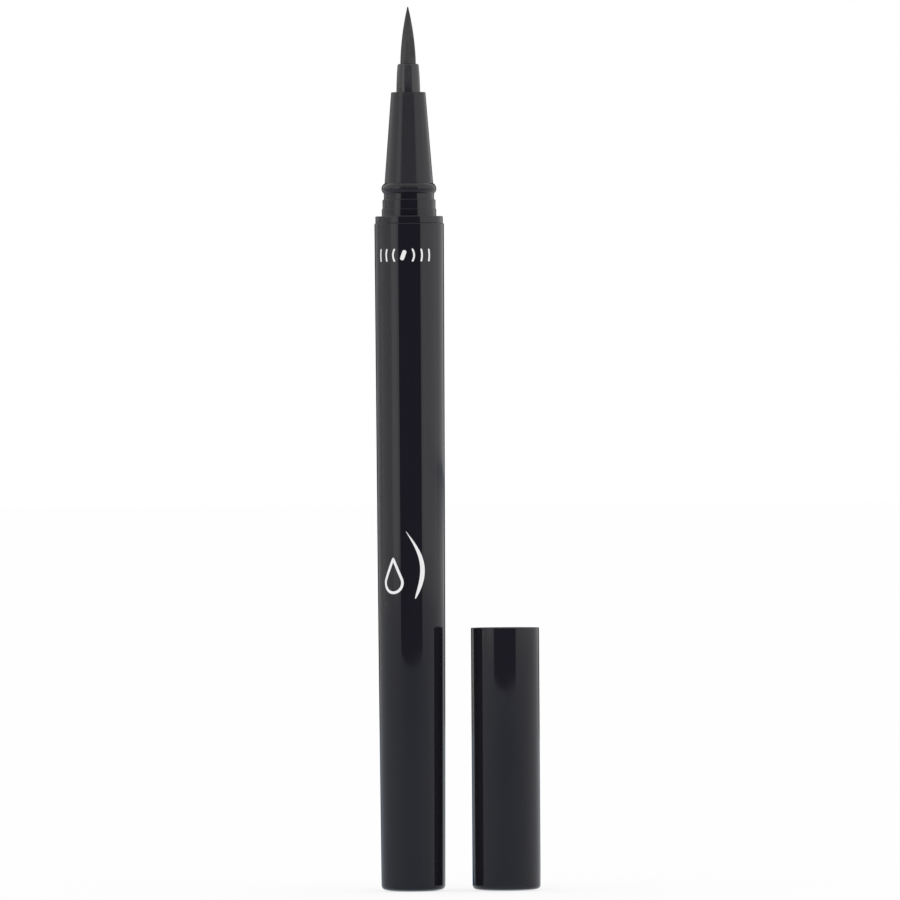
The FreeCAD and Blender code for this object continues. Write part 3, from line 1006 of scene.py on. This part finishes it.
@dataclass
class InkBarrel:
    """The long tube with its rounded tail, its tail plug and the white print."""

    box: NodeBox = field(default_factory=lambda: NodeBox.of("barrel"))
    plug_box: NodeBox = field(default_factory=lambda: NodeBox.of("tail_plug"))
    tail_inset: float = 0.425 * MM
    waist_inset: float = 0.175 * MM
    waist_height: float = 37 * MM
    waist_reach: float = 24 * MM
    bevel_rise: float = 0.333 * MM
    bevel_reach: float = 0.22 * MM
    tail_round: float = 0.5 * MM
    land_radius: float = 3.4 * MM
    hole_radius: float = 3.0 * MM
    tank_radius: float = 3.7 * MM
    tank_top: float = 61 * MM
    chamber_radius: float = 4.05 * MM
    edge_round: float = 0.1 * MM
    fine_round: float = 0.05 * MM
    plug_head: float = 1.2 * MM
    plug_low_radius: float = 2.88 * MM
    plug_rib_height: float = 0.5 * MM
    plug_rib_count: int = 2
    dish_radius: float = 2.38 * MM
    dish_depth: float = 0.9 * MM
    gate_radius: float = 0.55 * MM
    gate_depth: float = 0.12 * MM

    def radius_at(self, height: float) -> float:
        """Measure the barrel above its tail's rounding.

        Args:
            height: The height.

        Returns:
            The barrel's radius there.
        """
        waist = self.box.radius - self.waist_inset
        if height < self.waist_height:
            tail = self.box.radius - self.tail_inset
            return tail + (waist - tail) * height / self.waist_height
        share = (height - self.waist_height) / (self.box.top - self.waist_height)
        return waist + (self.box.radius - waist) * share

    def outline(self) -> Outline:
        """The tube with its filling hole, tank and collector chamber.

        Returns:
            The barrel's outline.
        """
        tail_radius = self.box.radius - self.tail_inset
        outline = Outline().to(self.hole_radius, self.box.bottom, self.fine_round)
        outline.to(self.land_radius, self.box.bottom, self.bevel_reach)
        outline.to(tail_radius, self.bevel_rise, self.tail_round)
        outline.to(self.box.radius - self.waist_inset, self.waist_height, self.waist_reach)
        outline.to(self.box.radius, self.box.top, self.edge_round)
        outline.to(self.chamber_radius, self.box.top, self.fine_round)
        outline.to(self.chamber_radius, self.tank_top).to(self.tank_radius, self.tank_top)
        return outline.to(self.tank_radius, self.plug_box.top).to(self.hole_radius, self.plug_box.top)

    def plug_outline(self) -> Outline:
        """The ribbed plug with its dish inside and a moulding gate in its end.

        Returns:
            The plug's outline.
        """
        bottom, top = self.plug_box.bottom, self.plug_box.top
        radius = self.plug_box.radius
        outline = Outline().to(0.0, bottom + self.gate_depth)
        outline.to(self.gate_radius, bottom + self.gate_depth, self.fine_round)
        outline.to(self.gate_radius, bottom, self.fine_round).to(radius, bottom, self.fine_round)
        outline.to(radius, self.plug_head).to(self.plug_low_radius, self.plug_head)
        outline.ribs(self.plug_rib_count, self.plug_rib_height, radius, self.plug_low_radius,
                     (self.plug_head, top))
        outline.to(self.plug_low_radius, top, self.fine_round).to(self.dish_radius, top)
        return outline.to(0.0, top - self.dish_depth)

    def build(self) -> None:
        """Make and dress the barrel, its plug and its print."""
        lathe = Lathe(self.box.axis)
        barrel = lathe.turn("barrel_tube", self.outline())
        settle(barrel, GLOSS_BLACK, Body.PEN, "barrel")
        plug = lathe.turn("tail_plug_body", self.plug_outline())
        settle(plug, PLUG_BLACK, Body.PEN, "tail_plug")
        marks = BarrelMarks(BarrelPrint(self.box.axis, self.radius_at))
        marks.build()


@dataclass
class BarrelMarks:
    """White marks on the barrel: a shake sign, and a drop beside a flick."""

    press: BarrelPrint
    sign_heading: float = math.radians(-10)
    sign_height: float = 93.1 * MM
    pill_length: float = 1.55 * MM
    pill_width: float = 0.62 * MM
    pill_tilt: float = math.radians(20)
    wave_radii: tuple[float, ...] = (1.6 * MM, 2.8 * MM, 4.0 * MM)
    wave_half_height: float = 0.95 * MM
    wave_width: float = 0.27 * MM
    drop_heading: float = math.radians(-12)
    drop_height: float = 47.8 * MM
    drop_middle: Point = (-1.75 * MM, -2.6 * MM)
    drop_radius: float = 1.45 * MM
    drop_rise: float = 3.5 * MM
    drop_width: float = 0.4 * MM
    drop_round_steps: int = 48
    drop_side_steps: int = 8
    flick_foot: Point = (1.6 * MM, -4.9 * MM)
    flick_tip: Point = (0.3 * MM, 4.9 * MM)
    flick_bend: float = 1.7 * MM
    flick_width: float = 0.95 * MM
    flick_end_share: float = 0.02
    flick_fullness: float = 0.7
    flick_thinning: float = 0.6
    flick_steps: int = 40

    def shake_sign(self) -> list[Stroke]:
        """A tilted pill between pairs of waves.

        Returns:
            Its strokes.
        """
        half = Vector((math.sin(self.pill_tilt), math.cos(self.pill_tilt))) * (self.pill_length / 2)
        strokes = [Stroke.even(straight_line(tuple(-half), tuple(half)), self.pill_width)]
        for radius in self.wave_radii:
            half_angle = math.asin(self.wave_half_height / radius)
            for side in (0.0, math.pi):
                line = arc_line((0.0, 0.0), radius, side - half_angle, side + half_angle)
                strokes.append(Stroke.even(line, self.wave_width))
        return strokes

    def drop_sign(self) -> list[Stroke]:
        """The outline of a drop beside a tapered flick.

        Returns:
            Its strokes.
        """
        lean = math.acos(self.drop_radius / self.drop_rise)
        across, height = self.drop_middle
        upright = math.pi / 2
        ends = (upright + lean, upright + FULL_TURN - lean)
        line = arc_line(self.drop_middle, self.drop_radius, *ends, self.drop_round_steps)
        tip = (across, height + self.drop_rise)
        rising = straight_line(line[-1], tip, self.drop_side_steps)
        falling = straight_line(tip, line[0], self.drop_side_steps)
        outline = line + rising[1:] + falling[1:-1]
        flick = []
        widths = []
        for step in range(self.flick_steps + 1):
            share = step / self.flick_steps
            at = Vector(self.flick_foot).lerp(Vector(self.flick_tip), share)
            flick.append((at.x + self.flick_bend * math.sin(math.pi * share), at.y))
            inner = (share + self.flick_end_share) / (1 + 2 * self.flick_end_share)
            swell = math.sin(math.pi * inner) ** self.flick_fullness
            widths.append(self.flick_width * swell * (1 - self.flick_thinning * share))
        return [Stroke.even(outline, self.drop_width, True), Stroke(flick, widths)]

    def build(self) -> None:
        """Print both marks."""
        sign = self.press.print("shake_sign", self.shake_sign(), (self.sign_heading, self.sign_height))
        settle(sign, PRINT_INK, Body.PEN)
        drop = self.press.print("drop_sign", self.drop_sign(), (self.drop_heading, self.drop_height))
        settle(drop, PRINT_INK, Body.PEN)


@dataclass
class InkFeed:
    """What the barrel hides: the finned collector, the relay core and the mixing ball."""

    finishes: dict[str, Finish] = field(
        default_factory=lambda: {
            "collector": NATURAL_PLASTIC,
            "relay_core": CORE_FIBRE,
            "mixing_ball": BALL_STEEL,
        }
    )

    def build(self) -> None:
        """Dress the nodes, whose shapes are right as they are."""
        for node, finish in self.finishes.items():
            dress(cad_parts[node], finish)
            LOG.info("%s: kept, dressed in %s", node, finish.name)


@dataclass
class Nose:
    """The front section with its snap neck and cone, the nib holder and the brush nib."""

    section: NodeBox = field(default_factory=lambda: NodeBox.of("front_section"))
    holder: NodeBox = field(default_factory=lambda: NodeBox.of("nib_holder"))
    nib: NodeBox = field(default_factory=lambda: NodeBox.of("brush_nib"))
    barrel: NodeBox = field(default_factory=lambda: NodeBox.of("barrel"))
    collar_height: float = 1.05 * MM
    seat_band_radius: float = 3.995 * MM
    seat_band_height: float = 1.08 * MM
    guide_band_radius: float = 3.89 * MM
    guide_band_height: float = 1.36 * MM
    groove_radius: float = 3.685 * MM
    groove_height: float = 0.9 * MM
    bead_radius: float = 4.025 * MM
    bead_height: float = 1.5 * MM
    bead_steps: int = 24
    cone_base_radius: float = 3.565 * MM
    cone_tip_radius: float = 2.52 * MM
    spigot_radius: float = 3.9 * MM
    spigot_rib_radius: float = 4.03 * MM
    spigot_rib_height: float = 0.7 * MM
    spigot_rib_count: int = 3
    bore_radius: float = 2.35 * MM
    holder_bore_radius: float = 1.825 * MM
    holder_flange_radius: float = 2.33 * MM
    holder_flange: float = 1.5 * MM
    holder_radius: float = 1.745 * MM
    holder_tip_radius: float = 1.565 * MM
    holder_bow: float = 0.035 * MM
    holder_bow_steps: int = 20
    holder_edge: float = 0.28 * MM
    nib_bore_radius: float = 1.16 * MM
    core_bore_radius: float = 0.95 * MM
    vent_count: int = 4
    vent_width: float = 0.5 * MM
    vent_depth: float = 0.22 * MM
    nib_radius: float = 1.14 * MM
    nib_tip_radius: float = 0.08 * MM
    nib_bow: float = 0.2 * MM
    nib_bow_steps: int = 56
    nib_tip_steps: int = 6
    fibre_count: int = 44
    fibre_columns: int = 8
    fibre_depth: float = 0.045 * MM
    fibre_depth_shares: Point = (0.35, 1.0)
    fibre_drifts: Point = (0.10, 0.14)
    fibre_fade_in: float = 8.0
    fibre_fade_out: float = 1.4
    fibre_lift: float = 0.02 * MM
    edge_round: float = 0.1 * MM
    fine_round: float = 0.06 * MM
    seed: int = 11

    @property
    def holder_seat(self) -> float:
        """Height at which the holder's flange meets the cone."""
        return self.holder.bottom + self.holder_flange

    def section_outline(self) -> Outline:
        """Ribbed spigot, collar, two bands, groove, bead, long cone and the bores.

        Returns:
            The front section's outline.
        """
        low = self.section.bottom
        seam = self.barrel.top
        shoulder = seam + self.collar_height
        seat_top = shoulder + self.seat_band_height
        guide_top = seat_top + self.guide_band_height
        groove_top = guide_top + self.groove_height
        cone_bottom = groove_top + self.bead_height
        bead_rise = self.bead_radius - (self.groove_radius + self.cone_base_radius) / 2
        outline = Outline().to(self.bore_radius, low).to(self.spigot_radius, low)
        outline.ribs(self.spigot_rib_count, self.spigot_rib_height, self.spigot_rib_radius,
                     self.spigot_radius, (low, seam))
        outline.to(self.spigot_radius, seam).to(self.section.radius, seam, self.fine_round)
        outline.to(self.section.radius, shoulder, self.edge_round)
        outline.to(self.seat_band_radius, shoulder, self.fine_round)
        outline.to(self.seat_band_radius, seat_top, self.fine_round)
        outline.to(self.guide_band_radius, seat_top)
        outline.to(self.guide_band_radius, guide_top, self.fine_round)
        outline.to(self.groove_radius, guide_top, self.fine_round)
        outline.to(self.groove_radius, groove_top)
        outline.bow(self.cone_base_radius, cone_bottom, bead_rise, self.bead_steps)
        outline.to(self.cone_tip_radius, self.section.top, self.edge_round)
        outline.to(self.holder_bore_radius, self.section.top, self.fine_round)
        outline.to(self.holder_bore_radius, self.holder_seat)
        return outline.to(self.bore_radius, self.holder_seat)

    def vents(self) -> Grooves:
        """Air grooves along the part of the holder that the cone hides.

        Returns:
            The grooves.
        """
        floor = self.holder_radius - self.vent_depth
        top = self.section.top - self.holder_edge
        return Grooves(self.vent_count, self.vent_width, floor, self.holder.bottom, top)

    def holder_outline(self) -> Outline:
        """Flange, straight grip and the bowed tube that carries the nib.

        Returns:
            The holder's outline.
        """
        bottom, top = self.holder.bottom, self.holder.top
        vent_top = self.vents().top
        nib_bottom = self.nib.bottom
        outline = Outline().to(self.core_bore_radius, bottom).to(self.holder_flange_radius, bottom)
        outline.to(self.holder_flange_radius, self.holder_seat).to(self.holder_radius, self.holder_seat)
        outline.to(self.holder_radius, vent_top).to(self.holder_radius, vent_top + self.fine_round / 2)
        outline.to(self.holder_radius, self.section.top)
        edge = top - self.holder_edge
        outline.bow(self.holder_tip_radius, edge, self.holder_bow, self.holder_bow_steps)
        outline.to(self.holder_tip_radius, top, self.holder_edge)
        outline.to(self.nib_bore_radius, top, self.fine_round).to(self.nib_bore_radius, nib_bottom)
        return outline.to(self.core_bore_radius, nib_bottom)

    def nib_outline(self) -> Outline:
        """Straight shank and a bowed point with a small round tip.

        Returns:
            The nib's outline.
        """
        shoulder = self.holder.top
        tip_side = self.nib.top - self.nib_tip_radius
        outline = Outline().to(0.0, self.nib.bottom).to(self.nib_radius, self.nib.bottom)
        outline.to(self.nib_radius, shoulder)
        quarter_rise = self.nib_tip_radius * (1 - math.cos(math.pi / 4))
        outline.bow(self.nib_tip_radius, tip_side, self.nib_bow, self.nib_bow_steps)
        return outline.bow(0.0, self.nib.top, quarter_rise, self.nib_tip_steps)

    def fibre_relief(self) -> Relief:
        """Ridges of the nib's fibres, each of its own depth and drifting a little round the nib.

        Returns:
            The relief that the lathe gives the nib.
        """
        draw = random.Random(self.seed)
        depths = [draw.uniform(*self.fibre_depth_shares) for _ in range(self.fibre_count)]
        drift = draw.uniform(*self.fibre_drifts)
        start = self.holder.top
        length = self.nib.top - start

        def relief(angle: float, radius: float, height: float) -> float:
            """Raise or lower a point of the nib.

            Args:
                angle: Angle of the point.
                radius: Radius of the outline there.
                height: Its height.

            Returns:
                The radius with its ridge.
            """
            share = (height - start) / length
            if share <= 0:
                return radius
            turned = (angle + drift * share) / FULL_TURN * self.fibre_count
            number = math.floor(turned) % self.fibre_count
            across = 2 * (turned - math.floor(turned)) - 1
            hollow = 1 - math.sqrt(max(0.0, 1 - across * across))
            near_holder = min(1.0, share * self.fibre_fade_in)
            near_tip = min(1.0, radius / self.nib_radius * self.fibre_fade_out)
            ridge = self.fibre_lift - self.fibre_depth * depths[number] * hollow
            return radius + ridge * near_holder * near_tip

        return relief

    def build(self) -> None:
        """Make and dress the three pieces."""
        lathe = Lathe(self.section.axis)
        section = lathe.turn("nose_section", self.section_outline())
        settle(section, GLOSS_BLACK, Body.PEN, "front_section")
        vents = self.vents()
        holder = lathe.turn("nib_holder_tube", self.holder_outline(), vents.relief, vents.edges())
        settle(holder, HOLDER_BLACK, Body.PEN, "nib_holder")
        fibre_lathe = Lathe(self.section.axis, self.fibre_count * self.fibre_columns)
        nib = fibre_lathe.turn("nib_fibres", self.nib_outline(), self.fibre_relief())
        settle(nib, NIB_FIBRE, Body.PEN, "brush_nib")


@dataclass
class Cap:
    """The cap shell, the sprung inner cap and the spring behind it."""

    shell: NodeBox = field(default_factory=lambda: NodeBox.of("cap_shell"))
    cup: NodeBox = field(default_factory=lambda: NodeBox.of("inner_cap"))
    land_radius: float = 3.3 * MM
    bevel_rise: float = 0.255 * MM
    bevel_reach: float = 0.3 * MM
    end_round: float = 0.55 * MM
    rim_round: float = 0.1 * MM
    fine_round: float = 0.05 * MM
    mouth_radius: float = 4.075 * MM
    mouth_lead: float = 0.25 * MM
    ridge_radius: float = 3.795 * MM
    ridge_height: float = 0.8 * MM
    ridge_depth: float = 2.89 * MM
    guide_depth: float = 6.0 * MM
    guide_radius: float = 3.825 * MM
    guide_step: float = 0.25 * MM
    flange_bottom: float = 9.31 * MM
    flange_height: float = 1.2 * MM
    flange_gap: float = 0.05 * MM
    flange_radius: float = 3.975 * MM
    cup_radius: float = 3.725 * MM
    cup_floor: float = 1.0 * MM
    cup_bore: float = 3.0216 * MM
    cup_flare: float = 0.25 * MM
    cup_flare_length: float = 2.0 * MM
    tab_slot_count: int = 4
    tab_slot_width: float = 1.0 * MM
    end_wall: float = 1.5 * MM
    boss_radius: float = 2.3 * MM
    boss_height: float = 1.2 * MM
    coil_radius: float = 2.6 * MM
    wire_radius: float = 0.2 * MM
    coil_turns: int = 5
    coil_bottom: float = 1.75 * MM
    coil_top: float = 7.06 * MM
    coil_steps_per_turn: int = 72
    wire_sides: int = 18
    wire_tail_share: float = 2.0
    wire_end_share: float = 0.8
    coil_probe_share: float = 0.125
    press_travel: float = 1.2 * MM

    def shell_outline(self) -> Outline:
        """Rounded closed end, straight side, snap ridge, guide bore, spring chamber and boss.

        Returns:
            The shell's outline.
        """
        radius, top = self.shell.radius, self.shell.top
        ridge_middle = top - self.ridge_depth
        ridge_rise = self.mouth_radius - self.ridge_radius
        guide_top = top - self.guide_depth
        chamber_top = self.flange_bottom + self.flange_height + self.flange_gap
        boss_top = self.end_wall + self.boss_height
        bottom = self.shell.bottom
        outline = Outline().to(0.0, bottom).to(self.land_radius, bottom, self.bevel_reach)
        outline.to(radius, self.bevel_rise, self.end_round).to(radius, top, self.rim_round)
        outline.to(self.mouth_radius + self.mouth_lead, top, self.fine_round)
        outline.to(self.mouth_radius, top - self.mouth_lead, self.fine_round)
        outline.to(self.mouth_radius, ridge_middle + self.ridge_height / 2)
        outline.bow(self.mouth_radius, ridge_middle - self.ridge_height / 2, ridge_rise)
        outline.to(self.mouth_radius, guide_top, self.fine_round)
        outline.to(self.guide_radius, guide_top - self.guide_step, self.fine_round)
        outline.to(self.guide_radius, chamber_top).to(self.mouth_radius, chamber_top)
        outline.to(self.mouth_radius, self.end_wall).to(self.boss_radius, self.end_wall)
        return outline.to(self.boss_radius, boss_top, self.rim_round).to(0.0, boss_top)

    def cup_outline(self) -> Outline:
        """Closed cup with a tabbed flange near its floor and a flared mouth.

        Returns:
            The inner cap's outline.
        """
        bottom, mouth = self.cup.bottom, self.cup.top
        flange_top = self.flange_bottom + self.flange_height
        outline = Outline().to(0.0, bottom).to(self.cup_radius, bottom, self.rim_round)
        outline.to(self.cup_radius, self.flange_bottom).to(self.flange_radius, self.flange_bottom)
        outline.to(self.flange_radius, flange_top).to(self.cup_radius, flange_top)
        outline.to(self.cup_radius, mouth, self.rim_round)
        outline.to(self.cup_bore + self.cup_flare, mouth, self.rim_round)
        outline.to(self.cup_bore, mouth - self.cup_flare_length, self.rim_round)
        outline.to(self.cup_bore, bottom + self.cup_floor, self.rim_round)
        return outline.to(0.0, bottom + self.cup_floor)

    def tab_slots(self) -> Grooves:
        """Gaps that part the flange into tabs."""
        return Grooves(self.tab_slot_count, self.tab_slot_width, self.cup_radius,
                       self.flange_bottom, self.flange_bottom + self.flange_height)

    def coil_point(self, turn: float) -> Vector:
        """Follow the spring's centre line.

        Args:
            turn: Number of turns from the spring's foot.

        Returns:
            The point in the frame.
        """
        angle = FULL_TURN * turn
        rise = (self.coil_top - self.coil_bottom) / self.coil_turns
        around = Vector((math.cos(angle), math.sin(angle), 0.0)) * self.coil_radius
        return self.shell.axis + around + Vector((0.0, 0.0, self.coil_bottom + rise * turn))

    def coil(self) -> bpy.types.Object:
        """The spring: one round wire along a helix, with rounded ends.

        Returns:
            The new object.
        """
        tail = self.wire_radius * self.wire_tail_share / (FULL_TURN * self.coil_radius)
        count = self.coil_turns * self.coil_steps_per_turn
        turns = [-tail + (self.coil_turns + 2 * tail) * step / count for step in range(count + 1)]
        mesh = bmesh.new()
        loops = []
        for index, turn in enumerate(turns):
            at = self.coil_point(turn)
            inward = Vector((self.shell.axis.x - at.x, self.shell.axis.y - at.y, 0.0)).normalized()
            way = (self.coil_point(turn + tail * self.coil_probe_share) - at).normalized()
            upward = way.cross(inward)
            from_end = min(index, count - index)
            radius = self.wire_radius * (1.0 if from_end else self.wire_end_share)
            loop = []
            for side in range(self.wire_sides):
                angle = FULL_TURN * side / self.wire_sides
                spoke = inward * math.cos(angle) + upward * math.sin(angle)
                loop.append(mesh.verts.new(at + spoke * radius))
            loops.append(loop)
        for first, second in zip(loops, loops[1:]):
            for side in range(self.wire_sides):
                following = (side + 1) % self.wire_sides
                mesh.faces.new((first[side], first[following], second[following], second[side]))
        mesh.faces.new(loops[0])
        mesh.faces.new(loops[-1])
        bmesh.ops.recalc_face_normals(mesh, faces=mesh.faces)
        return add_object("inner_cap_coil", mesh, Lathe.SHARP)

    def build(self) -> None:
        """Make and dress the three pieces, and give the spring a mesh of its own."""
        lathe = Lathe(self.shell.axis)
        shell = lathe.turn("cap_tube", self.shell_outline())
        settle(shell, GLOSS_BLACK, Body.CAP, "cap_shell")
        slots = self.tab_slots()
        cup = lathe.turn("inner_cap_cup", self.cup_outline(), slots.relief, slots.edges())
        settle(cup, NATURAL_PLASTIC, Body.SEAL_CUP, "inner_cap")
        coil = settle(self.coil(), SPRING_STEEL, Body.CAP, "inner_cap_spring")
        foot = self.coil_bottom - self.wire_radius
        anchor = self.shell.axis + Vector((0.0, 0.0, foot))
        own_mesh(coil)


# Studio


class Rays:
    """What kind of ray meets a surface."""

    def __init__(self, graph: Graph) -> None:
        """Ask a graph's light path.

        Args:
            graph: The nodes of a material.
        """
        self.camera = graph.add("ShaderNodeLightPath", output="Is Camera Ray")
        self.glossy = graph.add("ShaderNodeLightPath", output="Is Glossy Ray")
        self.transmission = graph.add("ShaderNodeLightPath", output="Is Transmission Ray")


@dataclass(frozen=True)
class PaleGround(Finish):
    """Pale floor with soft shadows: white to the camera, and to glossy rays a painted reflection that is
    greyer near the pen.
    """

    shade: Colour = (0.96, 0.96, 0.96)
    white: Colour = (1.0, 1.0, 1.0)
    # Colour of the painted reflection where it is darkest; it blends to white as the level rises.
    painted_reflection_tint: Colour = (0.0, 0.08, 0.2)
    white_share: float = 0.75
    reach: float = 4.0
    levels: Stops = ((0.0, 0.52), (0.55, 0.64), (0.95, 1.0))
    front_dips: Stops = (
        (0.0, 0.14),
        (0.13, 0.18),
        (0.22, 0.25),
        (0.30, 0.25),
        (0.6, 0.0),
    )
    right_lift: float = 0.26
    right_turn: Stops = ((0.2, 0.0), (0.6, 1.0))
    rear_dip: float = 0.48
    rear_turn: Stops = ((0.86, 0.0), (0.93, 1.0))

    def material(self) -> bpy.types.Material:
        """White to the camera; to glossy rays it glows with a painted reflection: grey close by, greyer in
        front and behind, lighter to the right, bluish where darker.

        Returns:
            The material.
        """
        made = bpy.data.materials.new(self.name)
        made.use_nodes = True
        graph = Graph(made.node_tree)
        rays = Rays(graph)
        at = graph.place()
        sideways = graph.add("ShaderNodeSeparateXYZ", sockets={0: at}, output="X")
        forward = graph.add("ShaderNodeSeparateXYZ", sockets={0: at}, output="Y")
        distance = graph.add("ShaderNodeVectorMath", {"operation": "LENGTH"}, {0: at}, "Value")
        heading = forward / distance
        share = distance * (1 / self.reach)
        dip = graph.ramp(share, self.front_dips) * heading * heading
        rearward = heading * 0.5 + 0.5
        turned = graph.ramp(rearward, self.right_turn)
        lift = turned * (1 - (sideways < 0.0)) * (1 - share) * self.right_lift
        dip_behind = graph.ramp(heading, self.rear_turn) * self.rear_dip
        # Painted reflection: grey levels by distance and heading, darker in front and behind and lighter to
        # the right, which only glossy and transmission rays see.
        level = graph.ramp(share, self.levels) - dip * (forward < 0.0) - dip_behind + lift
        painted_reflection_colour = graph.blend(level, self.painted_reflection_tint, self.white)
        matte = graph.add("ShaderNodeBsdfDiffuse", sockets={"Color": self.shade})
        colour = graph.blend(rays.camera, painted_reflection_colour, self.white)
        glow = graph.add("ShaderNodeEmission", sockets={"Color": colour, "Strength": 1.0})
        glowing = rays.camera * self.white_share | rays.glossy | rays.transmission
        graph.surface(graph.add("ShaderNodeMixShader", sockets={0: glowing, 1: matte, 2: glow}))
        return made


@dataclass(frozen=True)
class DarkCard(Finish):
    """Dark card that the gloss mirrors, paler towards its top."""

    low: Colour = (0.02, 0.022, 0.07)
    high: Colour = (0.52, 0.52, 0.54)
    fade_from: float = 0.1615
    fade_to: float = 0.2521

    def inputs(self, graph: Graph) -> dict[str | int, "Value"]:
        """A dull colour that fades upwards.

        Args:
            graph: The nodes of the material.

        Returns:
            The shader's inputs, by name.
        """
        at = graph.add("ShaderNodeTexCoord", output="Generated")
        height = graph.add("ShaderNodeSeparateXYZ", sockets={0: at}, output="Z")
        fade = graph.ramp(height, [(self.fade_from, 0.0), (self.fade_to, 1.0)])
        return {
            "Base Color": graph.blend(fade, self.low, self.high),
            "Roughness": 1.0,
            "Specular IOR Level": 0.0,
        }


@dataclass(frozen=True)
class StripLamp:
    """A tall soft lamp that stands beside the camera."""

    name: str
    heading: float
    width: float
    radiance: float
    distance: float = 1.3
    height: float = 0.8
    foot: float = 0.02

    def build(self) -> None:
        """Stand the lamp up, facing the pen."""
        lamp = bpy.data.lights.new(self.name, "AREA")
        lamp.shape = "RECTANGLE"
        lamp.size = self.width
        lamp.size_y = self.height
        lamp.energy = self.radiance * math.pi * self.width * self.height
        way = Vector((math.sin(self.heading), -math.cos(self.heading), 0.0))
        holder = bpy.data.objects.new(self.name, lamp)
        holder.location = way * self.distance + Vector((0.0, 0.0, self.foot + self.height / 2))
        holder.rotation_euler = (-way).to_track_quat("-Z", "Y").to_euler()
        bpy.context.scene.collection.objects.link(holder)


@dataclass(frozen=True)
class GreyCard:
    """An upright grey card between two points of the floor."""

    name: str
    level: float
    start: Point
    end: Point
    height: float = 1.2

    def corners(self) -> list[Vector]:
        """The card's corners, round its edge."""
        feet = [Vector((*self.start, 0.0)), Vector((*self.end, 0.0))]
        return feet + [foot + Vector((0.0, 0.0, self.height)) for foot in reversed(feet)]


@dataclass
class Studio:
    """Floor, cards that only the gloss mirrors, soft lamps, world and the camera."""

    nib: NodeBox = field(default_factory=lambda: NodeBox.of("brush_nib"))
    image_width: int = 900
    tail_pixel: Point = (413.5, 890.9)
    tip_pixel: Point = (407.7, 6.6)
    camera_distance: float = 2.0
    sensor: float = 36.0
    floor_half: float = 14.0
    card_distance: float = 0.4
    card_half_angle: float = math.radians(37)
    card_span: Point = (0.0225, 0.60)
    grey_cards: tuple[GreyCard, ...] = (
        GreyCard("rear_card", 0.06, (0.53, 1.0), (-0.53, 1.0)),
        GreyCard("left_rear_card", 0.6, (-0.53, 1.0), (-2.4, 1.0), height=0.25),
        GreyCard("left_card", 0.85, (-2.4, 1.0), (-2.4, -0.95), height=0.25),
    )
    ambient: float = 1.0
    tent: Colour = (1.0, 1.0, 1.0)
    lamps: tuple[StripLamp, ...] = (
        StripLamp("left_lamp", math.radians(-53), 0.44, 0.35),
        StripLamp("right_lamp", math.radians(72), 1.45, 0.16),
    )

    def add_camera(self) -> None:
        """Aim a long lens so that the pen's tail and tip fall on their pixels."""
        tail, tip = Vector(self.tail_pixel), Vector(self.tip_pixel)
        rise = tip - tail
        pixel = self.nib.top / rise.length
        lean = math.atan2(-rise.x, -rise.y)
        right = Vector((math.cos(lean), 0.0, -math.sin(lean)))
        up = Vector((math.sin(lean), 0.0, math.cos(lean)))
        back = right.cross(up)
        middle = self.image_width / 2
        centre = right * ((middle - tail.x) * pixel) + up * ((tail.y - middle) * pixel)
        lens = bpy.data.cameras.new("camera")
        lens.sensor_width = self.sensor
        lens.lens = self.sensor * self.camera_distance / (self.image_width * pixel)
        camera = bpy.data.objects.new("camera", lens)
        camera.matrix_world = Matrix.Translation(centre + back * self.camera_distance) @ Matrix(
            (right, up, back)).transposed().to_4x4()
        bpy.context.scene.collection.objects.link(camera)
        bpy.context.scene.camera = camera

    @staticmethod
    def _panel(name: str, corners: Sequence[Vector], finish: Finish) -> bpy.types.Object:
        """Add a flat panel to the stage.

        Args:
            name: Its name.
            corners: Its corners, round its edge.
            finish: Its finish.

        Returns:
            The new object.
        """
        data = bpy.data.meshes.new(name)
        data.from_pydata(corners, [], [tuple(range(len(corners)))])
        panel = bpy.data.objects.new(name, data)
        bpy.context.scene.collection.objects.link(panel)
        data.materials.append(finish.material())
        return panel

    def add_floor(self) -> None:
        """A wide pale floor under the pen and the cap."""
        signs = ((-1, -1), (1, -1), (1, 1), (-1, 1))
        corners = [Vector((x, y, 0.0)) * self.floor_half for x, y in signs]
        self._panel("floor", corners, PaleGround("pale_floor"))

    def add_card(self) -> None:
        """A low dark card on the camera's side, which only reflections show."""
        half = self.card_distance * math.tan(self.card_half_angle)
        low, high = self.card_span
        sides = ((half, low), (-half, low), (-half, high), (half, high))
        corners = [Vector((x, -self.card_distance, z)) for x, z in sides]
        self._hide(self._panel("dark_card", corners, DarkCard("dark_card")))

    def add_grey_cards(self) -> None:
        """Grey cards behind the pen and at its left, which keep the rims dark."""
        for card in self.grey_cards:
            grey = (card.level, card.level, card.level)
            finish = DarkCard(card.name, low=grey, high=grey)
            self._hide(self._panel(card.name, card.corners(), finish))

    @staticmethod
    def _hide(card: bpy.types.Object) -> None:
        """Leave a card to reflections alone.

        Args:
            card: The card.
        """
        card.visible_camera = False
        card.visible_diffuse = False
        card.visible_shadow = False

    def add_world(self) -> None:
        """White surroundings that light the object evenly."""
        world = bpy.data.worlds.new("white_tent")
        world.use_nodes = True
        graph = Graph(world.node_tree)
        light = graph.add("ShaderNodeBackground", sockets={"Color": self.tent, "Strength": self.ambient})
        graph.surface(light, "ShaderNodeOutputWorld")
        bpy.context.scene.world = world

    def build(self) -> None:
        """Set the stage."""
        self.add_camera()
        self.add_floor()
        self.add_card()
        self.add_grey_cards()
        for lamp in self.lamps:
            lamp.build()
        self.add_world()
        bpy.context.scene.view_settings.view_transform = "Standard"
        LOG.info("studio: camera %.2f m away", self.camera_distance)


def main() -> None:
    """Build the pen, its cap and the studio, in that order."""
    logging.basicConfig(level=logging.INFO, format="%(name)s %(message)s")
    for part in (InkBarrel(), InkFeed(), Nose(), Cap(), Studio()):
        part.build()


if __name__ == "__main__":
    main()
